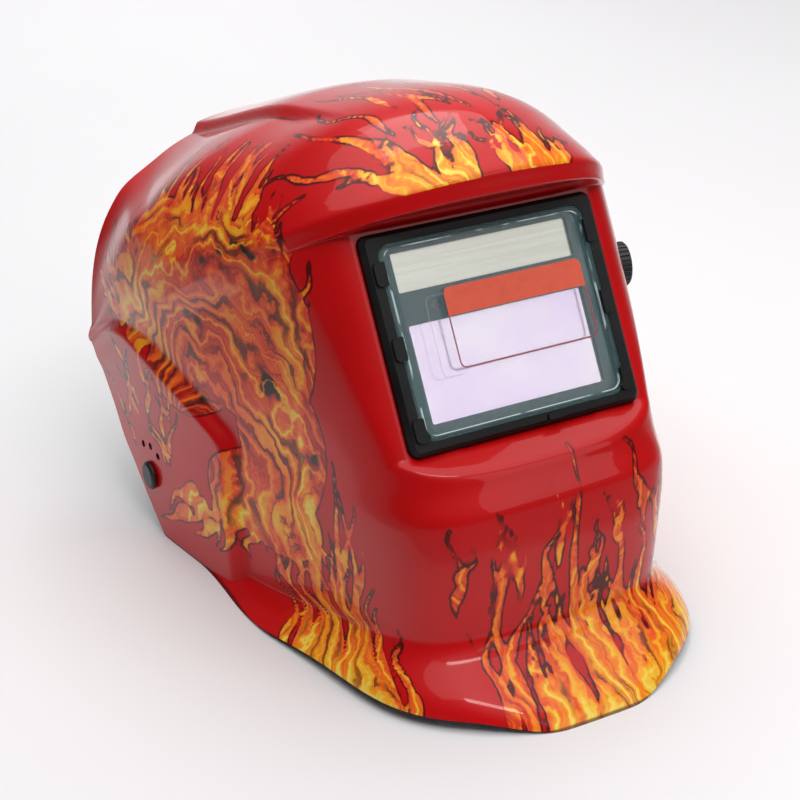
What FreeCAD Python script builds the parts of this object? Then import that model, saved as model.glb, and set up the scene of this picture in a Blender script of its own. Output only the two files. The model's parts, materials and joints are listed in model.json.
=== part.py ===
import FreeCAD, Part
import Sketcher
import math
import os

# Welding helmet with a filter cartridge in the front window and an adjustable headband inside.
# Frame: +Z up, the face looks towards -Y, +X is the side with the shade knob.  The helmet stands
# on its rim at z = 0, and the origin is below the middle of the whole object.

doc = FreeCAD.newDocument("welding_helmet")
sheet = doc.addObject("Spreadsheet::Sheet", "Sheet")

# Driving dimensions in millimetres and degrees.
DIMENSIONS = {
    # outer shell
    "shell_wall": 2.5, "rim_drop": 160.0, "rim_step": 6.5, "lip_reach": 41.0, "face_front": 54.0,
    "window_tilt": 30.2,
    # lens frame and front cover lens
    "frame_width": 122.0, "frame_height": 101.0, "frame_corner": 5.0, "frame_front": 4.6,
    "frame_back": 7.0, "frame_play": 0.3, "frame_slope": 2.0, "ledge_width": 105.0,
    "ledge_height": 87.0, "ledge_back": 1.8, "ledge_front": 3.4, "plate_width": 108.4,
    "plate_height": 90.0, "plate_thick": 1.0, "plate_corner": 7.0, "flange_width": 126.0,
    "flange_height": 114.0, "flange_thick": 2.8, "clip_length": 11.0, "clip_reach": 7.0,
    "film_width": 98.0, "film_height": 84.0, "film_thick": 0.15,
    # filter cartridge
    "cart_width": 110.0, "cart_height": 90.0, "cart_wall": 2.0, "cart_skin": 1.5,
    "cart_front_depth": 4.6, "cart_back_depth": 5.2, "view_width": 92.0, "view_height": 45.0,
    "view_drop": 15.3, "solar_width": 93.0, "solar_height": 18.0, "solar_rise": 31.4,
    "filter_thick": 1.1, "shutter_thick": 2.2, "sensor_radius": 2.2, "dial_radius": 7.0,
    "dial_height": 4.5, "inner_lens_thick": 1.0,
    # retainer that swings behind the cartridge
    "retainer_thick": 2.0, "hinge_pin_radius": 1.5, "hinge_play": 0.05,
    # shade knob and its potentiometer
    "shade_radius": 11.0, "shade_height": 8.5, "shade_skirt": 7.6, "shaft_radius": 3.0,
    "bush_radius": 3.9, "pot_radius": 8.0, "pot_depth": 7.0, "lead_radius": 1.1,
    # side pivots and tilt
    "pivot_rear": 159.0, "pivot_height": 33.0, "bolt_radius": 4.0, "bolt_head_radius": 7.5,
    "bolt_head_height": 2.2, "nut_radius": 17.0, "nut_height": 13.0, "arm_thick": 2.4,
    "arm_width": 26.0,
    # headband
    "band_half_width": 78.0, "band_front": 88.0, "band_rear": 102.0, "band_thick": 1.8,
    "band_height": 26.0, "band_rise": 25.0, "band_corner": 30.0, "pad_thick": 8.0,
    "pad_gap": 0.5, "sleeve_length": 28.0, "strap_width": 20.0, "strap_thick": 1.4,
    "strap_height": 104.0,
    # size ratchet at the back of the headband
    "ratchet_half": 20.0, "ratchet_depth": 13.0, "ratchet_height": 34.0, "gear_module": 1.0,
    "gear_teeth": 9.0, "ratchet_knob_radius": 21.0, "ratchet_knob_depth": 14.0,
}
for line_number, (alias, value) in enumerate(DIMENSIONS.items(), start=1):
    sheet.set("A%d" % line_number, alias)
    sheet.set("B%d" % line_number, str(value))
    sheet.setAlias("B%d" % line_number, alias)
doc.recompute()


def size(alias):
    """Value of one driving dimension."""
    return float(sheet.get(alias))


def vec(x, y, z):
    return FreeCAD.Vector(x, y, z)


X_AXIS = vec(1, 0, 0)
Y_AXIS = vec(0, 1, 0)
Z_AXIS = vec(0, 0, 1)
PLAY = 0.05          # radial running clearance of every pin and shaft
SUB_PARTS = []       # every finished sub-part, in order


# ---------------------------------------------------------------- places
# The window centre is the place that everything on the face is measured from.  The lengths
# below it are lengths behind it (towards +Y) and above it.
RIM_FRONT = size("face_front") + size("lip_reach")
REAR_REACH = (size("pivot_rear") + size("band_rear") + size("band_thick")
              + size("ratchet_depth") + size("ratchet_knob_depth") + 3.2)
WINDOW = vec(0, (RIM_FRONT - REAR_REACH) / 2, size("rim_drop"))
TILT = math.radians(size("window_tilt"))
OUTWARD = vec(0, -math.cos(TILT), math.sin(TILT))      # out of the window
UPWARD = vec(0, math.sin(TILT), math.cos(TILT))        # up along the window
PIVOT = vec(0, WINDOW.y + size("pivot_rear"), size("pivot_height"))
BAND_MIDDLE = PIVOT + vec(0, 0, size("band_rise"))

# local x runs along X, local y up the window and local z out of it
WINDOW_PLACE = FreeCAD.Placement(
    WINDOW, FreeCAD.Rotation(X_AXIS, UPWARD, OUTWARD, "ZXY"))
# local z runs along +Y (towards the back of the head), local x along -X
REAR_PLACE = FreeCAD.Placement(
    BAND_MIDDLE + vec(0, size("band_rear"), 0), FreeCAD.Rotation(vec(-1, 0, 0), Z_AXIS, Y_AXIS, "ZXY"))


# ---------------------------------------------------------------- helpers
def finish(obj, label, place=None):
    """Name a finished object, put it in its place and keep it as a sub-part."""
    if place is not None:
        obj.Placement = place
    obj.Label = label
    SUB_PARTS.append(obj)
    return obj


def feature(label, shape, place=None):
    """A sub-part whose shape is made with Part's own functions."""
    obj = doc.addObject("Part::Feature", label)
    obj.Shape = shape
    return finish(obj, label, place if place is not None else FreeCAD.Placement())


def bind(obj, **expressions):
    for prop, expression in expressions.items():
        obj.setExpression(prop, expression)
    return obj


def box(name, length, width, height, x=0.0, y=0.0, z=0.0):
    """Box centred on x and y, rising from z.  Sizes are expressions."""
    obj = bind(doc.addObject("Part::Box", name), Length=length, Width=width, Height=height)
    doc.recompute()
    obj.Placement.Base = vec(x - obj.Length.Value / 2, y - obj.Width.Value / 2, z)
    return obj


def round_box(name, length, width, height, corner, x=0.0, y=0.0, z=0.0):
    """Box with rounded upright edges."""
    block = box(name + "_block", length, width, height, x, y, z)
    obj = doc.addObject("Part::Fillet", name)
    obj.Base = block
    upright = [number for number, edge in enumerate(block.Shape.Edges, start=1)
               if abs(edge.tangentAt(edge.FirstParameter).z) > 0.9]
    obj.Edges = [(number, corner, corner) for number in upright]
    doc.recompute()
    return obj


def cylinder(name, radius, height, x=0.0, y=0.0, z=0.0, direction=Z_AXIS):
    obj = bind(doc.addObject("Part::Cylinder", name), Radius=radius, Height=height)
    obj.Placement = FreeCAD.Placement(vec(x, y, z), FreeCAD.Rotation(Z_AXIS, direction))
    return obj


def fuse(name, *shapes):
    obj = doc.addObject("Part::MultiFuse", name)
    obj.Shapes = list(shapes)
    return obj


def cut(name, base, *tools):
    obj = doc.addObject("Part::Cut", name)
    obj.Base = base
    obj.Tool = tools[0] if len(tools) == 1 else fuse(name + "_tools", *tools)
    return obj


def origin_plane(body, role):
    return [item for item in body.Origin.OriginFeatures if item.Role == role][0]


def profile_sketch(body, name, points, plane="XZ_Plane", bound=()):
    """Closed straight-sided sketch.  bound lists (point index, 1 for x or 2 for y, expression)."""
    sketch = body.newObject("Sketcher::SketchObject", name)
    sketch.AttachmentSupport = [(origin_plane(body, plane), "")]
    sketch.MapMode = "FlatFace"
    count = len(points)
    for index in range(count):
        start = vec(points[index][0], points[index][1], 0)
        end = vec(points[(index + 1) % count][0], points[(index + 1) % count][1], 0)
        sketch.addGeometry(Part.LineSegment(start, end), False)
    for index in range(count):
        sketch.addConstraint(Sketcher.Constraint("Coincident", index, 2, (index + 1) % count, 1))
    for index, side, expression in bound:
        kind = "DistanceX" if side == 1 else "DistanceY"
        number = sketch.addConstraint(
            Sketcher.Constraint(kind, -1, 1, index, 1, points[index][side - 1]))
        sketch.setExpression("Constraints[%d]" % number, expression)
    return sketch


def turned_body(name, points, bound=()):
    """Body turned about its own Z axis from a half profile of (radius, height) points."""
    body = doc.addObject("PartDesign::Body", name)
    sketch = profile_sketch(body, name + "_profile", points, "XZ_Plane", bound)
    turn = body.newObject("PartDesign::Revolution", name + "_turn")
    turn.Profile = sketch
    turn.ReferenceAxis = (sketch, ["V_Axis"])
    turn.Angle = 360.0
    doc.recompute()
    return body


def flute(body, name, radius, depth, count, bottom, top):
    """Round grooves along the side of a turned body, repeated about its axis."""
    before = body.Shape.Volume
    sketch = body.newObject("Sketcher::SketchObject", name + "_sketch")
    sketch.AttachmentSupport = [(origin_plane(body, "XY_Plane"), "")]
    sketch.MapMode = "FlatFace"
    sketch.AttachmentOffset = FreeCAD.Placement(vec(0, 0, bottom), FreeCAD.Rotation())
    groove_radius = math.pi * radius / count * 0.55
    groove = Part.Circle(vec(radius + groove_radius - depth, 0, 0), Z_AXIS, groove_radius)
    sketch.addGeometry(groove, False)
    pocket = body.newObject("PartDesign::Pocket", name)
    pocket.Profile = sketch
    pocket.Reversed = True
    pocket.Length = top - bottom
    doc.recompute()
    pattern = body.newObject("PartDesign::PolarPattern", name + "_pattern")
    pattern.Originals = [pocket]
    pattern.Axis = (sketch, ["N_Axis"])
    pattern.Angle = 360.0
    pattern.Occurrences = count
    body.Tip = pattern
    doc.recompute()
    if body.Shape.Volume >= before:
        raise RuntimeError("no flutes were cut on " + name)
    return body


# ---------------------------------------------------------------- shell surface
# Each row is one U-shaped rib of half the shell, from the rim to the back of the crown.
# middle: point on the centre line, edge: point on the rear side edge, both as (behind, above)
# the window centre.  width: four control points of the rib as (half width, depth) along the
# line from middle to edge.  half: half width at the edge.  sag: bow of the rib across that line.
ROWS = [
    # place, middle, edge, width control points, half, sag
    (0.00, (-54.0, -160.5), (150, -160.5), ((40, 0), (70, 6), (74, 62), (94, 128)), 105, 0),
    (0.12, (-55.0, -128), (163, -147), ((42, 0), (72, 6), (76, 66), (97, 140)), 107, 0),
    (0.24, (-55.5, -92), (180, -130), ((43, 0), (75, 7), (79, 70), (101, 148)), 109, 0),
    (0.33, (-53.0, -68), (196, -117), ((44, 0), (77, 7), (81, 74), (102, 150)), 110, 0),
    (0.38, (-45.0, -53), (205, -108), ((44, 0), (77, 8), (82, 76), (103, 150)), 110, 0),
    (0.50, (-24.0, 5), (222, -94), ((44, 0), (77, 10), (88, 80), (107, 160)), 110, 0),
    (0.58, (-3.0, 50), (230, -87), ((43, 0), (82, 20), (97, 96), (108, 180)), 111, 0),
    (0.62, (2.5, 63), (233, -84), ((42, 0), (86, 28), (108, 130), (110, 210)), 111, 0),
    (0.65, (3.6, 70.5), (234, -83), ((40, 0), (90, 32), (112, 150), (110, 220)), 111, 0),
    (0.68, (10.0, 75.5), (236, -82), ((39, 0), (92, 38), (113, 156), (110, 220)), 111, 0),
    (0.75, (28.0, 84), (237, -80), ((37, 0), (94, 48), (116, 156), (110, 226)), 112, 0),
    (0.83, (60.0, 90.5), (239, -77), ((35, 0), (88, 46), (116, 142), (111, 210)), 112, 0),
    (0.92, (130.0, 77), (240, -76), ((28, 0), (84, 22), (117, 96), (110, 155)), 112, -4),
    (1.00, (250.0, 33.5), (240, -75), ((26, 1), (62, 7), (110, 46), (113, 86)), 112, -10),
]
# Lower edge of the body where the flared lip starts, as (behind, above) the window centre.
LIP_LINE = [(-400, -126), (-40, -126), (-2, -140), (27, -147), (59, -151), (80, -152), (300, -152)]
# Crease above the stepped rear side panel.
PANEL_LINE = [(60, -80), (78, -76), (102, -67), (141, -56), (186, -51), (247, -75)]


def smooth_step(low, high, value):
    k = min(max((value - low) / (high - low), 0.0), 1.0)
    return k * k * (3 - 2 * k)


def soft_min(a, b, blend):
    k = min(max(0.5 + 0.5 * (b - a) / blend, 0.0), 1.0)
    return b * (1 - k) + a * k - blend * k * (1 - k)


def eased(knots, values, place):
    """Smooth curve through the knots that never overshoots them."""
    gaps = [knots[i + 1] - knots[i] for i in range(len(knots) - 1)]
    rises = [(values[i + 1] - values[i]) / gaps[i] for i in range(len(gaps))]
    slopes = [rises[0]]
    for i in range(1, len(gaps)):
        if rises[i - 1] * rises[i] <= 0:
            slopes.append(0.0)
        else:
            first = 2 * gaps[i] + gaps[i - 1]
            second = gaps[i] + 2 * gaps[i - 1]
            slopes.append((first + second) / (first / rises[i - 1] + second / rises[i]))
    slopes.append(rises[-1])
    place = min(max(place, knots[0]), knots[-1])
    span = max(i for i in range(len(gaps)) if knots[i] <= place)
    k = (place - knots[span]) / gaps[span]
    return ((1 + 2 * k) * (1 - k) ** 2 * values[span] + k * (1 - k) ** 2 * gaps[span] * slopes[span]
            + k * k * (3 - 2 * k) * values[span + 1] - k * k * (1 - k) * gaps[span] * slopes[span + 1])


ROW_PLACES = [row[0] for row in ROWS]
ROW_VALUES = [[*row[1], *row[2], *[n for pair in row[3] for n in pair], row[4], row[5]] for row in ROWS]


def rib_points(place, count):
    """Evenly spaced points of one rib, relative to the window centre."""
    values = [eased(ROW_PLACES, [row[k] for row in ROW_VALUES], place) for k in range(14)]
    middle, edge = values[0:2], values[2:4]
    run = math.hypot(edge[0] - middle[0], edge[1] - middle[1])
    along = ((edge[0] - middle[0]) / run, (edge[1] - middle[1]) / run)
    poles = [vec(0, 0, 0)]
    poles += [vec(values[k], values[k + 1], 0) for k in range(4, 12, 2)]
    poles += [vec(values[12], run, 0)]
    rib = Part.BSplineCurve()
    rib.buildFromPolesMultsKnots(poles, [4, 1, 1, 4], [0, 1 / 3, 2 / 3, 1], False, 3)
    points = []
    for flat in rib.discretize(Number=count):
        bow = values[13] * 4 * (flat.y / run) * (1 - flat.y / run)
        points.append(vec(flat.x, middle[0] + along[0] * flat.y - along[1] * bow,
                          middle[1] + along[1] * flat.y + along[0] * bow))
    return points


def grid_normals(grid):
    """Outward normal at each grid point, from its neighbours."""
    last_row = len(grid) - 1
    last_column = len(grid[0]) - 1
    normals = []
    for i, line in enumerate(grid):
        normals.append([])
        for j in range(len(line)):
            up = grid[min(i + 1, last_row)][j] - grid[max(i - 1, 0)][j]
            side = line[min(j + 1, last_column)] - line[max(j - 1, 0)]
            normal = side.cross(up)
            normal.normalize()
            normals[-1].append(normal)
    return normals


def dress_point(point, normal, inset):
    """Add the lip, the rear side panel, the window recess, the brow and the crown panel."""
    flat = vec(normal.x, normal.y, 0)
    flat.normalize()
    aside = abs(point.x)
    lip_top = eased([p[0] for p in LIP_LINE], [p[1] for p in LIP_LINE], point.y)
    below = min(max((lip_top - point.z) / (lip_top + 160.5), 0.0), 1.05)
    lip = smooth_step(0, 1.12, below) / smooth_step(0, 1.12, 1.0)
    front = (1 - smooth_step(15, 72, aside)) if point.y < 0 else 0.0
    step = size("rim_step") - 3.5 * smooth_step(140, 240, point.y)
    reach = 20 + (size("lip_reach") - 20) * front
    behind = smooth_step(40, 120, point.y)
    reach = reach * (1 - behind) + step * behind
    panel_top = eased([p[0] for p in PANEL_LINE], [p[1] for p in PANEL_LINE], point.y)
    inside_panel = soft_min(panel_top - point.z, (point.y - 80) * 0.9, 8)
    panel = smooth_step(0, 8, inside_panel) * smooth_step(60, 84, point.y)
    point = point + flat * max(reach * lip, step * panel)
    arch = 6.5 * smooth_step(15, 60, abs(point.x)) * (1 - smooth_step(-20, 90, point.y))
    point.z += arch * smooth_step(120, 160, -point.z)
    # window recess: nothing stands in front of the tilted face plane, except below and above it
    out = point.dot(OUTWARD)
    up = point.dot(UPWARD)
    side_fall = -0.04 * max(abs(point.x) - 62, 0.0) ** 2
    ledge = max(-50.4 - up, 0.0) * 0.9
    brow = max((up - inset - 52.5) / 2.0, 0.0) ** 2 * 22
    point = point + OUTWARD * (soft_min(out, side_fall + ledge + brow - inset, 3.0) - out)
    lowered = smooth_step(38, 46, abs(point.x)) * smooth_step(60, 130, point.y)
    point.z -= 5 * lowered * smooth_step(0, 20, point.z)
    return point


def shell_grid(row_places, half_columns, wall):
    """Dressed grid of the whole shell, moved inwards by wall."""
    half = [rib_points(place, half_columns + 1) for place in row_places]
    full = [[vec(-p.x, p.y, p.z) for p in reversed(line[1:])] + line for line in half]
    normals = grid_normals(full)
    dressed = []
    for line, line_normals in zip(full, normals):
        dressed.append([dress_point(p - n * wall, n, wall) for p, n in zip(line, line_normals)])
    if wall == 0:
        return dressed
    # near the lip the wall is measured square to the flared surface instead
    outer = shell_grid(row_places, half_columns, 0)
    outer_normals = grid_normals(outer)
    for i, line in enumerate(dressed):
        for j, point in enumerate(line):
            low = 1 - smooth_step(-110, -80, outer[i][j].z)
            square = outer[i][j] - outer_normals[i][j] * wall
            line[j] = point * (1 - low) + square * low
    return dressed


def grid_surface(grid):
    rows, columns = len(grid), len(grid[0])
    surface = Part.BSplineSurface()
    u_knots = [i / (rows - 3) for i in range(rows - 2)]
    v_knots = [i / (columns - 3) for i in range(columns - 2)]
    u_mults = [4] + [1] * (rows - 4) + [4]
    v_mults = [4] + [1] * (columns - 4) + [4]
    surface.buildFromPolesMultsKnots(grid, u_mults, v_mults, u_knots, v_knots, False, False, 3, 3)
    return surface


def spaced(low, high, count):
    return [low + (high - low) * k / count for k in range(count)]


# close rows at the lip, the ledge under the window and the brow, where the shape turns quickly
ROW_SPACING = (spaced(0, 0.14, 9) + spaced(0.14, 0.32, 6) + spaced(0.32, 0.42, 7)
               + spaced(0.42, 0.58, 8) + spaced(0.58, 0.66, 16) + spaced(0.66, 0.78, 6)
               + spaced(0.78, 1.0, 7) + [1.0])
HALF_COLUMNS = 18


def surface_edges(surface):
    return [surface.uIso(0), surface.uIso(1), surface.vIso(0), surface.vIso(1)]


def make_shell_solid():
    outer = grid_surface(shell_grid(ROW_SPACING, HALF_COLUMNS, 0))
    inner = grid_surface(shell_grid(ROW_SPACING, HALF_COLUMNS, size("shell_wall")))
    faces = [outer.toShape(), inner.toShape()]
    for outer_edge, inner_edge in zip(surface_edges(outer), surface_edges(inner)):
        faces.append(Part.makeRuledSurface(outer_edge.toShape(), inner_edge.toShape()))
    skin = Part.makeShell(faces)
    skin.sewShape()
    solid = Part.makeSolid(skin)
    if solid.Volume < 0:
        solid.reverse()
    return solid, outer


shell_solid, outer_surface = make_shell_solid()


# ---------------------------------------------------------------- shell
SURFACE_REACH = 200.0
SHADE_BEHIND = 37.0
SHADE_ABOVE = -3.5
skin_face = outer_surface.toShape()
shade_spot = skin_face.distToShape(Part.makeLine(
    vec(60, SHADE_BEHIND, SHADE_ABOVE), vec(SURFACE_REACH, SHADE_BEHIND, SHADE_ABOVE)))[1][0][0]
shade_normal = outer_surface.normal(*outer_surface.parameter(shade_spot))
if shade_normal.x < 0:
    shade_normal = shade_normal * -1
pivot_skin = skin_face.distToShape(Part.makeLine(
    vec(90, size("pivot_rear"), PIVOT.z - WINDOW.z),
    vec(SURFACE_REACH, size("pivot_rear"), PIVOT.z - WINDOW.z)))[1][0][0]
PIVOT_SKIN = pivot_skin.x

PEG_DISTANCE = 17.0
PEG_RADIUS = 2.0
PEG_ANGLES = (60, 90, 120)         # about the pivot, from straight behind towards straight up
SCREW_ASIDE = 45.0
SCREW_RISE = 53.7
SCREW_RADIUS = 1.4
BOSS_RADIUS = 3.4
SCREW_ENDS = {1: -1.4, -1: 1.2}    # how far forward the boss runs, above and below the window


def window_block(width, height, corner, back, front):
    """Round-cornered prism in the window's own directions, at the window centre."""
    blank = Part.makeBox(width, height, front - back, vec(-width / 2, -height / 2, back))
    upright = [e for e in blank.Edges if abs(e.tangentAt(e.FirstParameter).z) > 0.9]
    return blank.makeFillet(corner, upright)


def settled(shape):
    """Holds a turned shape so that a new placement does not undo the turn."""
    return Part.Compound([shape])


def tilted(shape):
    turned = shape.copy()
    turned.Placement = FreeCAD.Placement(vec(0, 0, 0), WINDOW_PLACE.Rotation)
    return turned


def frame_screw_spots():
    return [(side * SCREW_ASIDE, rise * SCREW_RISE, SCREW_ENDS[rise])
            for rise in (1, -1) for side in (-1, 1)]


def peg_spot(angle):
    turn = math.radians(angle)
    return vec(0, PEG_DISTANCE * math.cos(turn), PEG_DISTANCE * math.sin(turn))


def make_shell():
    shape = shell_solid
    flange_front = -(size("frame_back") - size("flange_thick"))
    for aside, rise, end in frame_screw_spots():
        boss = Part.makeCylinder(BOSS_RADIUS, end - flange_front, vec(aside, rise, flange_front))
        shape = shape.fuse(tilted(boss))
    opening = window_block(size("frame_width") + 2 * size("frame_play"),
                           size("frame_height") + 2 * size("frame_play"),
                           size("frame_corner"), -15, 10)
    shape = shape.cut(tilted(opening))
    for aside, rise, end in frame_screw_spots():
        bore = Part.makeCylinder(SCREW_RADIUS, end - flange_front - 0.8, vec(aside, rise, flange_front))
        shape = shape.cut(tilted(bore))
    below_table = Part.makeBox(400, 600, 50, vec(-200, -300, -size("rim_drop") - 50))
    shape = shape.cut(below_table)
    pivot = PIVOT - WINDOW
    bolt_hole = Part.makeCylinder(size("bolt_radius") + PLAY, 300, pivot - X_AXIS * 150, X_AXIS)
    shape = shape.cut(bolt_hole)
    for angle in PEG_ANGLES:
        peg_hole = Part.makeCylinder(PEG_RADIUS + PLAY, 300, pivot - X_AXIS * 150 + peg_spot(angle), X_AXIS)
        shape = shape.cut(peg_hole)
    bush_start = shade_spot - shade_normal * 10
    shape = shape.cut(Part.makeCylinder(size("bush_radius") + PLAY, 20, bush_start, shade_normal))
    return shape.Solids[0] if len(shape.Solids) == 1 else shape


feature("shell", make_shell(), FreeCAD.Placement(WINDOW, FreeCAD.Rotation()))


# ---------------------------------------------------------------- lens frame
BOX_END = 13.0                 # how far behind the window the frame's box reaches
HINGE_DROP = 51.5              # retainer hinge below the window centre
HINGE_BACK = 14.0
EAR_INNER = 50.0
EAR_THICK = 3.0
EAR_RADIUS = 3.0               # round end of the ear, so the retainer can swing past it
CLIP_RISES = (32.0, -2.0, -39.0)
CLIP_ASIDE = 54.6
CLIP_THICK = 1.5
LEAD_RISE = 16.0               # where the lead passes the frame, above the window centre


def make_lens_frame():
    front = round_box("frame_front_block", "Sheet.frame_width", "Sheet.frame_height",
                      "Sheet.frame_back + Sheet.frame_front", size("frame_corner"), z=-size("frame_back"))
    slope = doc.addObject("Part::Chamfer", "frame_slope")
    slope.Base = front
    top = size("frame_front")
    rim_edges = [number for number, edge in enumerate(front.Shape.Edges, start=1)
                 if min(v.Z for v in edge.Vertexes) > top - 0.01]
    slope.Edges = [(number, size("frame_slope"), size("frame_slope")) for number in rim_edges]
    doc.recompute()
    flange = round_box("frame_flange", "Sheet.flange_width", "Sheet.flange_height",
                       "Sheet.flange_thick", 6.0, z=-size("frame_back"))
    outer_box = round_box("frame_box", "Sheet.cart_width + 6", "Sheet.cart_height + 6",
                          str(BOX_END - size("frame_back")), 3.0, z=-BOX_END)
    ears = []
    for side in (-1, 1):
        middle = side * (EAR_INNER + EAR_THICK / 2)
        reach = HINGE_BACK - size("frame_back")
        ears.append(box("frame_ear", str(EAR_THICK), str(2 * EAR_RADIUS), str(reach), x=middle,
                        y=-HINGE_DROP, z=-HINGE_BACK))
        ears.append(cylinder("frame_ear_end", str(EAR_RADIUS), str(EAR_THICK), middle - EAR_THICK / 2,
                             -HINGE_DROP, -HINGE_BACK, X_AXIS))
    clips = []
    for side in (-1, 1):
        for rise in CLIP_RISES:
            clips.append(round_box("frame_clip", "Sheet.clip_reach", "Sheet.clip_length", str(CLIP_THICK),
                                   2.4, x=side * CLIP_ASIDE, y=rise, z=size("frame_front")))
    nub = round_box("frame_nub", "9", "3", "1.2", 1.2, x=14, y=-47.4, z=size("frame_front"))
    body = fuse("frame_body", slope, flange, outer_box, nub, *ears, *clips)
    opening = round_box("frame_opening", "Sheet.ledge_width", "Sheet.ledge_height", "40", 5.0, z=-30)
    recess = round_box("frame_recess", "Sheet.plate_width + 0.4", "Sheet.plate_height + 0.4",
                       "Sheet.frame_front - Sheet.ledge_front", size("plate_corner"), z=size("ledge_front"))
    pocket = round_box("frame_pocket", "Sheet.cart_width + 0.4", "Sheet.cart_height + 0.4",
                       "Sheet.ledge_back + 20", 2.0, z=-20)
    pin_hole = cylinder("frame_pin_hole", "Sheet.hinge_pin_radius", "130", x=-65, y=-HINGE_DROP,
                        z=-HINGE_BACK, direction=X_AXIS)
    screw_holes = [cylinder("frame_screw_hole", str(SCREW_RADIUS + 0.1), "10", aside, rise, -12)
                   for aside, rise, end in frame_screw_spots()]
    lead_notch = box("frame_lead_notch", "10", "3.2", str(BOX_END - 4.9), x=size("cart_width") / 2 + 3,
                     y=LEAD_RISE, z=-BOX_END - 0.2)
    return cut("lens_frame", body, opening, recess, pocket, pin_hole, lead_notch, *screw_holes)


finish(make_lens_frame(), "lens_frame", WINDOW_PLACE)


def frame_screws():
    screws = []
    for aside, rise, end in frame_screw_spots():
        length = end + size("frame_back") - 0.8 - 0.6
        shank = cylinder("screw_shank", str(SCREW_RADIUS), str(length), aside, rise, -size("frame_back"))
        head = cylinder("screw_head", "2.8", "1.6", aside, rise, -size("frame_back") - 1.6)
        slot = box("screw_slot", "4.4", "0.8", "0.8", aside, rise, -size("frame_back") - 1.6)
        screws.append(cut("frame_screw", fuse("screw_blank", shank, head), slot))
    group = doc.addObject("Part::Compound", "frame_screws")
    group.Links = screws
    return group


finish(frame_screws(), "frame_screws", WINDOW_PLACE)

PLATE_BACK = size("ledge_front") + 0.1
finish(round_box("front_cover_lens", "Sheet.plate_width", "Sheet.plate_height", "Sheet.plate_thick",
                 size("plate_corner"), z=PLATE_BACK), "front_cover_lens", WINDOW_PLACE)
finish(round_box("peel_film", "Sheet.film_width", "Sheet.film_height", "Sheet.film_thick", 4.0,
                 z=PLATE_BACK + size("plate_thick")), "peel_film", WINDOW_PLACE)
GASKET_THICK = 1.0
finish(cut("gasket", round_box("gasket_block", "Sheet.cart_width", "Sheet.cart_height", str(GASKET_THICK),
                               2.0, z=size("ledge_back") - GASKET_THICK),
           round_box("gasket_opening", "Sheet.ledge_width", "Sheet.ledge_height", "4", 4.0, z=0)),
       "frame_gasket", WINDOW_PLACE)


# ---------------------------------------------------------------- filter cartridge
CART_FRONT = size("ledge_back") - GASKET_THICK
CART_SPLIT = CART_FRONT - size("cart_front_depth")
CART_BACK = CART_SPLIT - size("cart_back_depth")
SKIN_BACK = CART_FRONT - size("cart_skin")
SENSOR_ASIDE = 30.0
SENSOR_RISE = 14.0
DIAL_ASIDE = 38.0
DIAL_RISE = 28.0
DIAL_SHAFT = 2.5
SLOT_LENGTH = 12.0


def case_half(name, z, depth, skin_z, tools):
    """Open box with a skin at one end.  skin_z is where the hollow starts."""
    block = round_box(name + "_block", "Sheet.cart_width", "Sheet.cart_height", depth, 2.0, z=z)
    hollow = round_box(name + "_hollow", "Sheet.cart_width - 2 * Sheet.cart_wall",
                       "Sheet.cart_height - 2 * Sheet.cart_wall", depth + " - Sheet.cart_skin", 1.5, z=skin_z)
    view = round_box(name + "_view", "Sheet.view_width", "Sheet.view_height", "30", 1.0,
                     y=-size("view_drop"), z=-15)
    return cut(name, block, hollow, view, *tools)


solar_window = round_box("solar_window", "Sheet.solar_width", "Sheet.solar_height", "8", 0.8,
                         y=size("solar_rise"), z=-2)
sensor_holes = [cylinder("sensor_hole", "Sheet.sensor_radius + 0.1", "8", side * SENSOR_ASIDE,
                         SENSOR_RISE, -4) for side in (-1, 1)]
finish(case_half("cartridge_front_case", CART_SPLIT, "Sheet.cart_front_depth", CART_SPLIT,
                 [solar_window] + sensor_holes), "cartridge_front_case", WINDOW_PLACE)

dial_holes = [cylinder("dial_hole", str(DIAL_SHAFT + PLAY), "8", side * DIAL_ASIDE, DIAL_RISE, CART_BACK - 2)
              for side in (-1, 1)]
slider_slot = round_box("slider_slot", str(SLOT_LENGTH), "3", "8", 1.4, y=DIAL_RISE, z=CART_BACK - 2)
finish(case_half("cartridge_rear_case", CART_BACK, "Sheet.cart_back_depth", CART_BACK + size("cart_skin"),
                 dial_holes + [slider_slot]), "cartridge_rear_case", WINDOW_PLACE)

GLASS_WIDTH = "Sheet.view_width + 4"
GLASS_HEIGHT = "Sheet.view_height + 4"
finish(round_box("uv_ir_filter", GLASS_WIDTH, GLASS_HEIGHT, "Sheet.filter_thick", 1.0,
                 y=-size("view_drop"), z=SKIN_BACK - size("filter_thick")), "uv_ir_filter", WINDOW_PLACE)
finish(round_box("lcd_shutter", GLASS_WIDTH, GLASS_HEIGHT, "Sheet.shutter_thick", 1.0,
                 y=-size("view_drop"), z=SKIN_BACK - size("filter_thick") - size("shutter_thick")),
       "lcd_shutter", WINDOW_PLACE)
finish(round_box("solar_cell", "Sheet.solar_width + 3", "Sheet.solar_height + 3", "Sheet.filter_thick", 0.8,
                 y=size("solar_rise"), z=SKIN_BACK - size("filter_thick")), "solar_cell", WINDOW_PLACE)
sensors = doc.addObject("Part::Compound", "arc_sensors")
sensors.Links = [cylinder("arc_sensor", "Sheet.sensor_radius", "3.2", side * SENSOR_ASIDE, SENSOR_RISE,
                          CART_FRONT - 3.6) for side in (-1, 1)]
finish(sensors, "arc_sensors", WINDOW_PLACE)
BOARD_FRONT = CART_SPLIT - 0.1
BOARD_THICK = 1.2
board_block = round_box("board_block", "102", "30", str(BOARD_THICK), 1.0, y=27.0,
                        z=BOARD_FRONT - BOARD_THICK)
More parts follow.
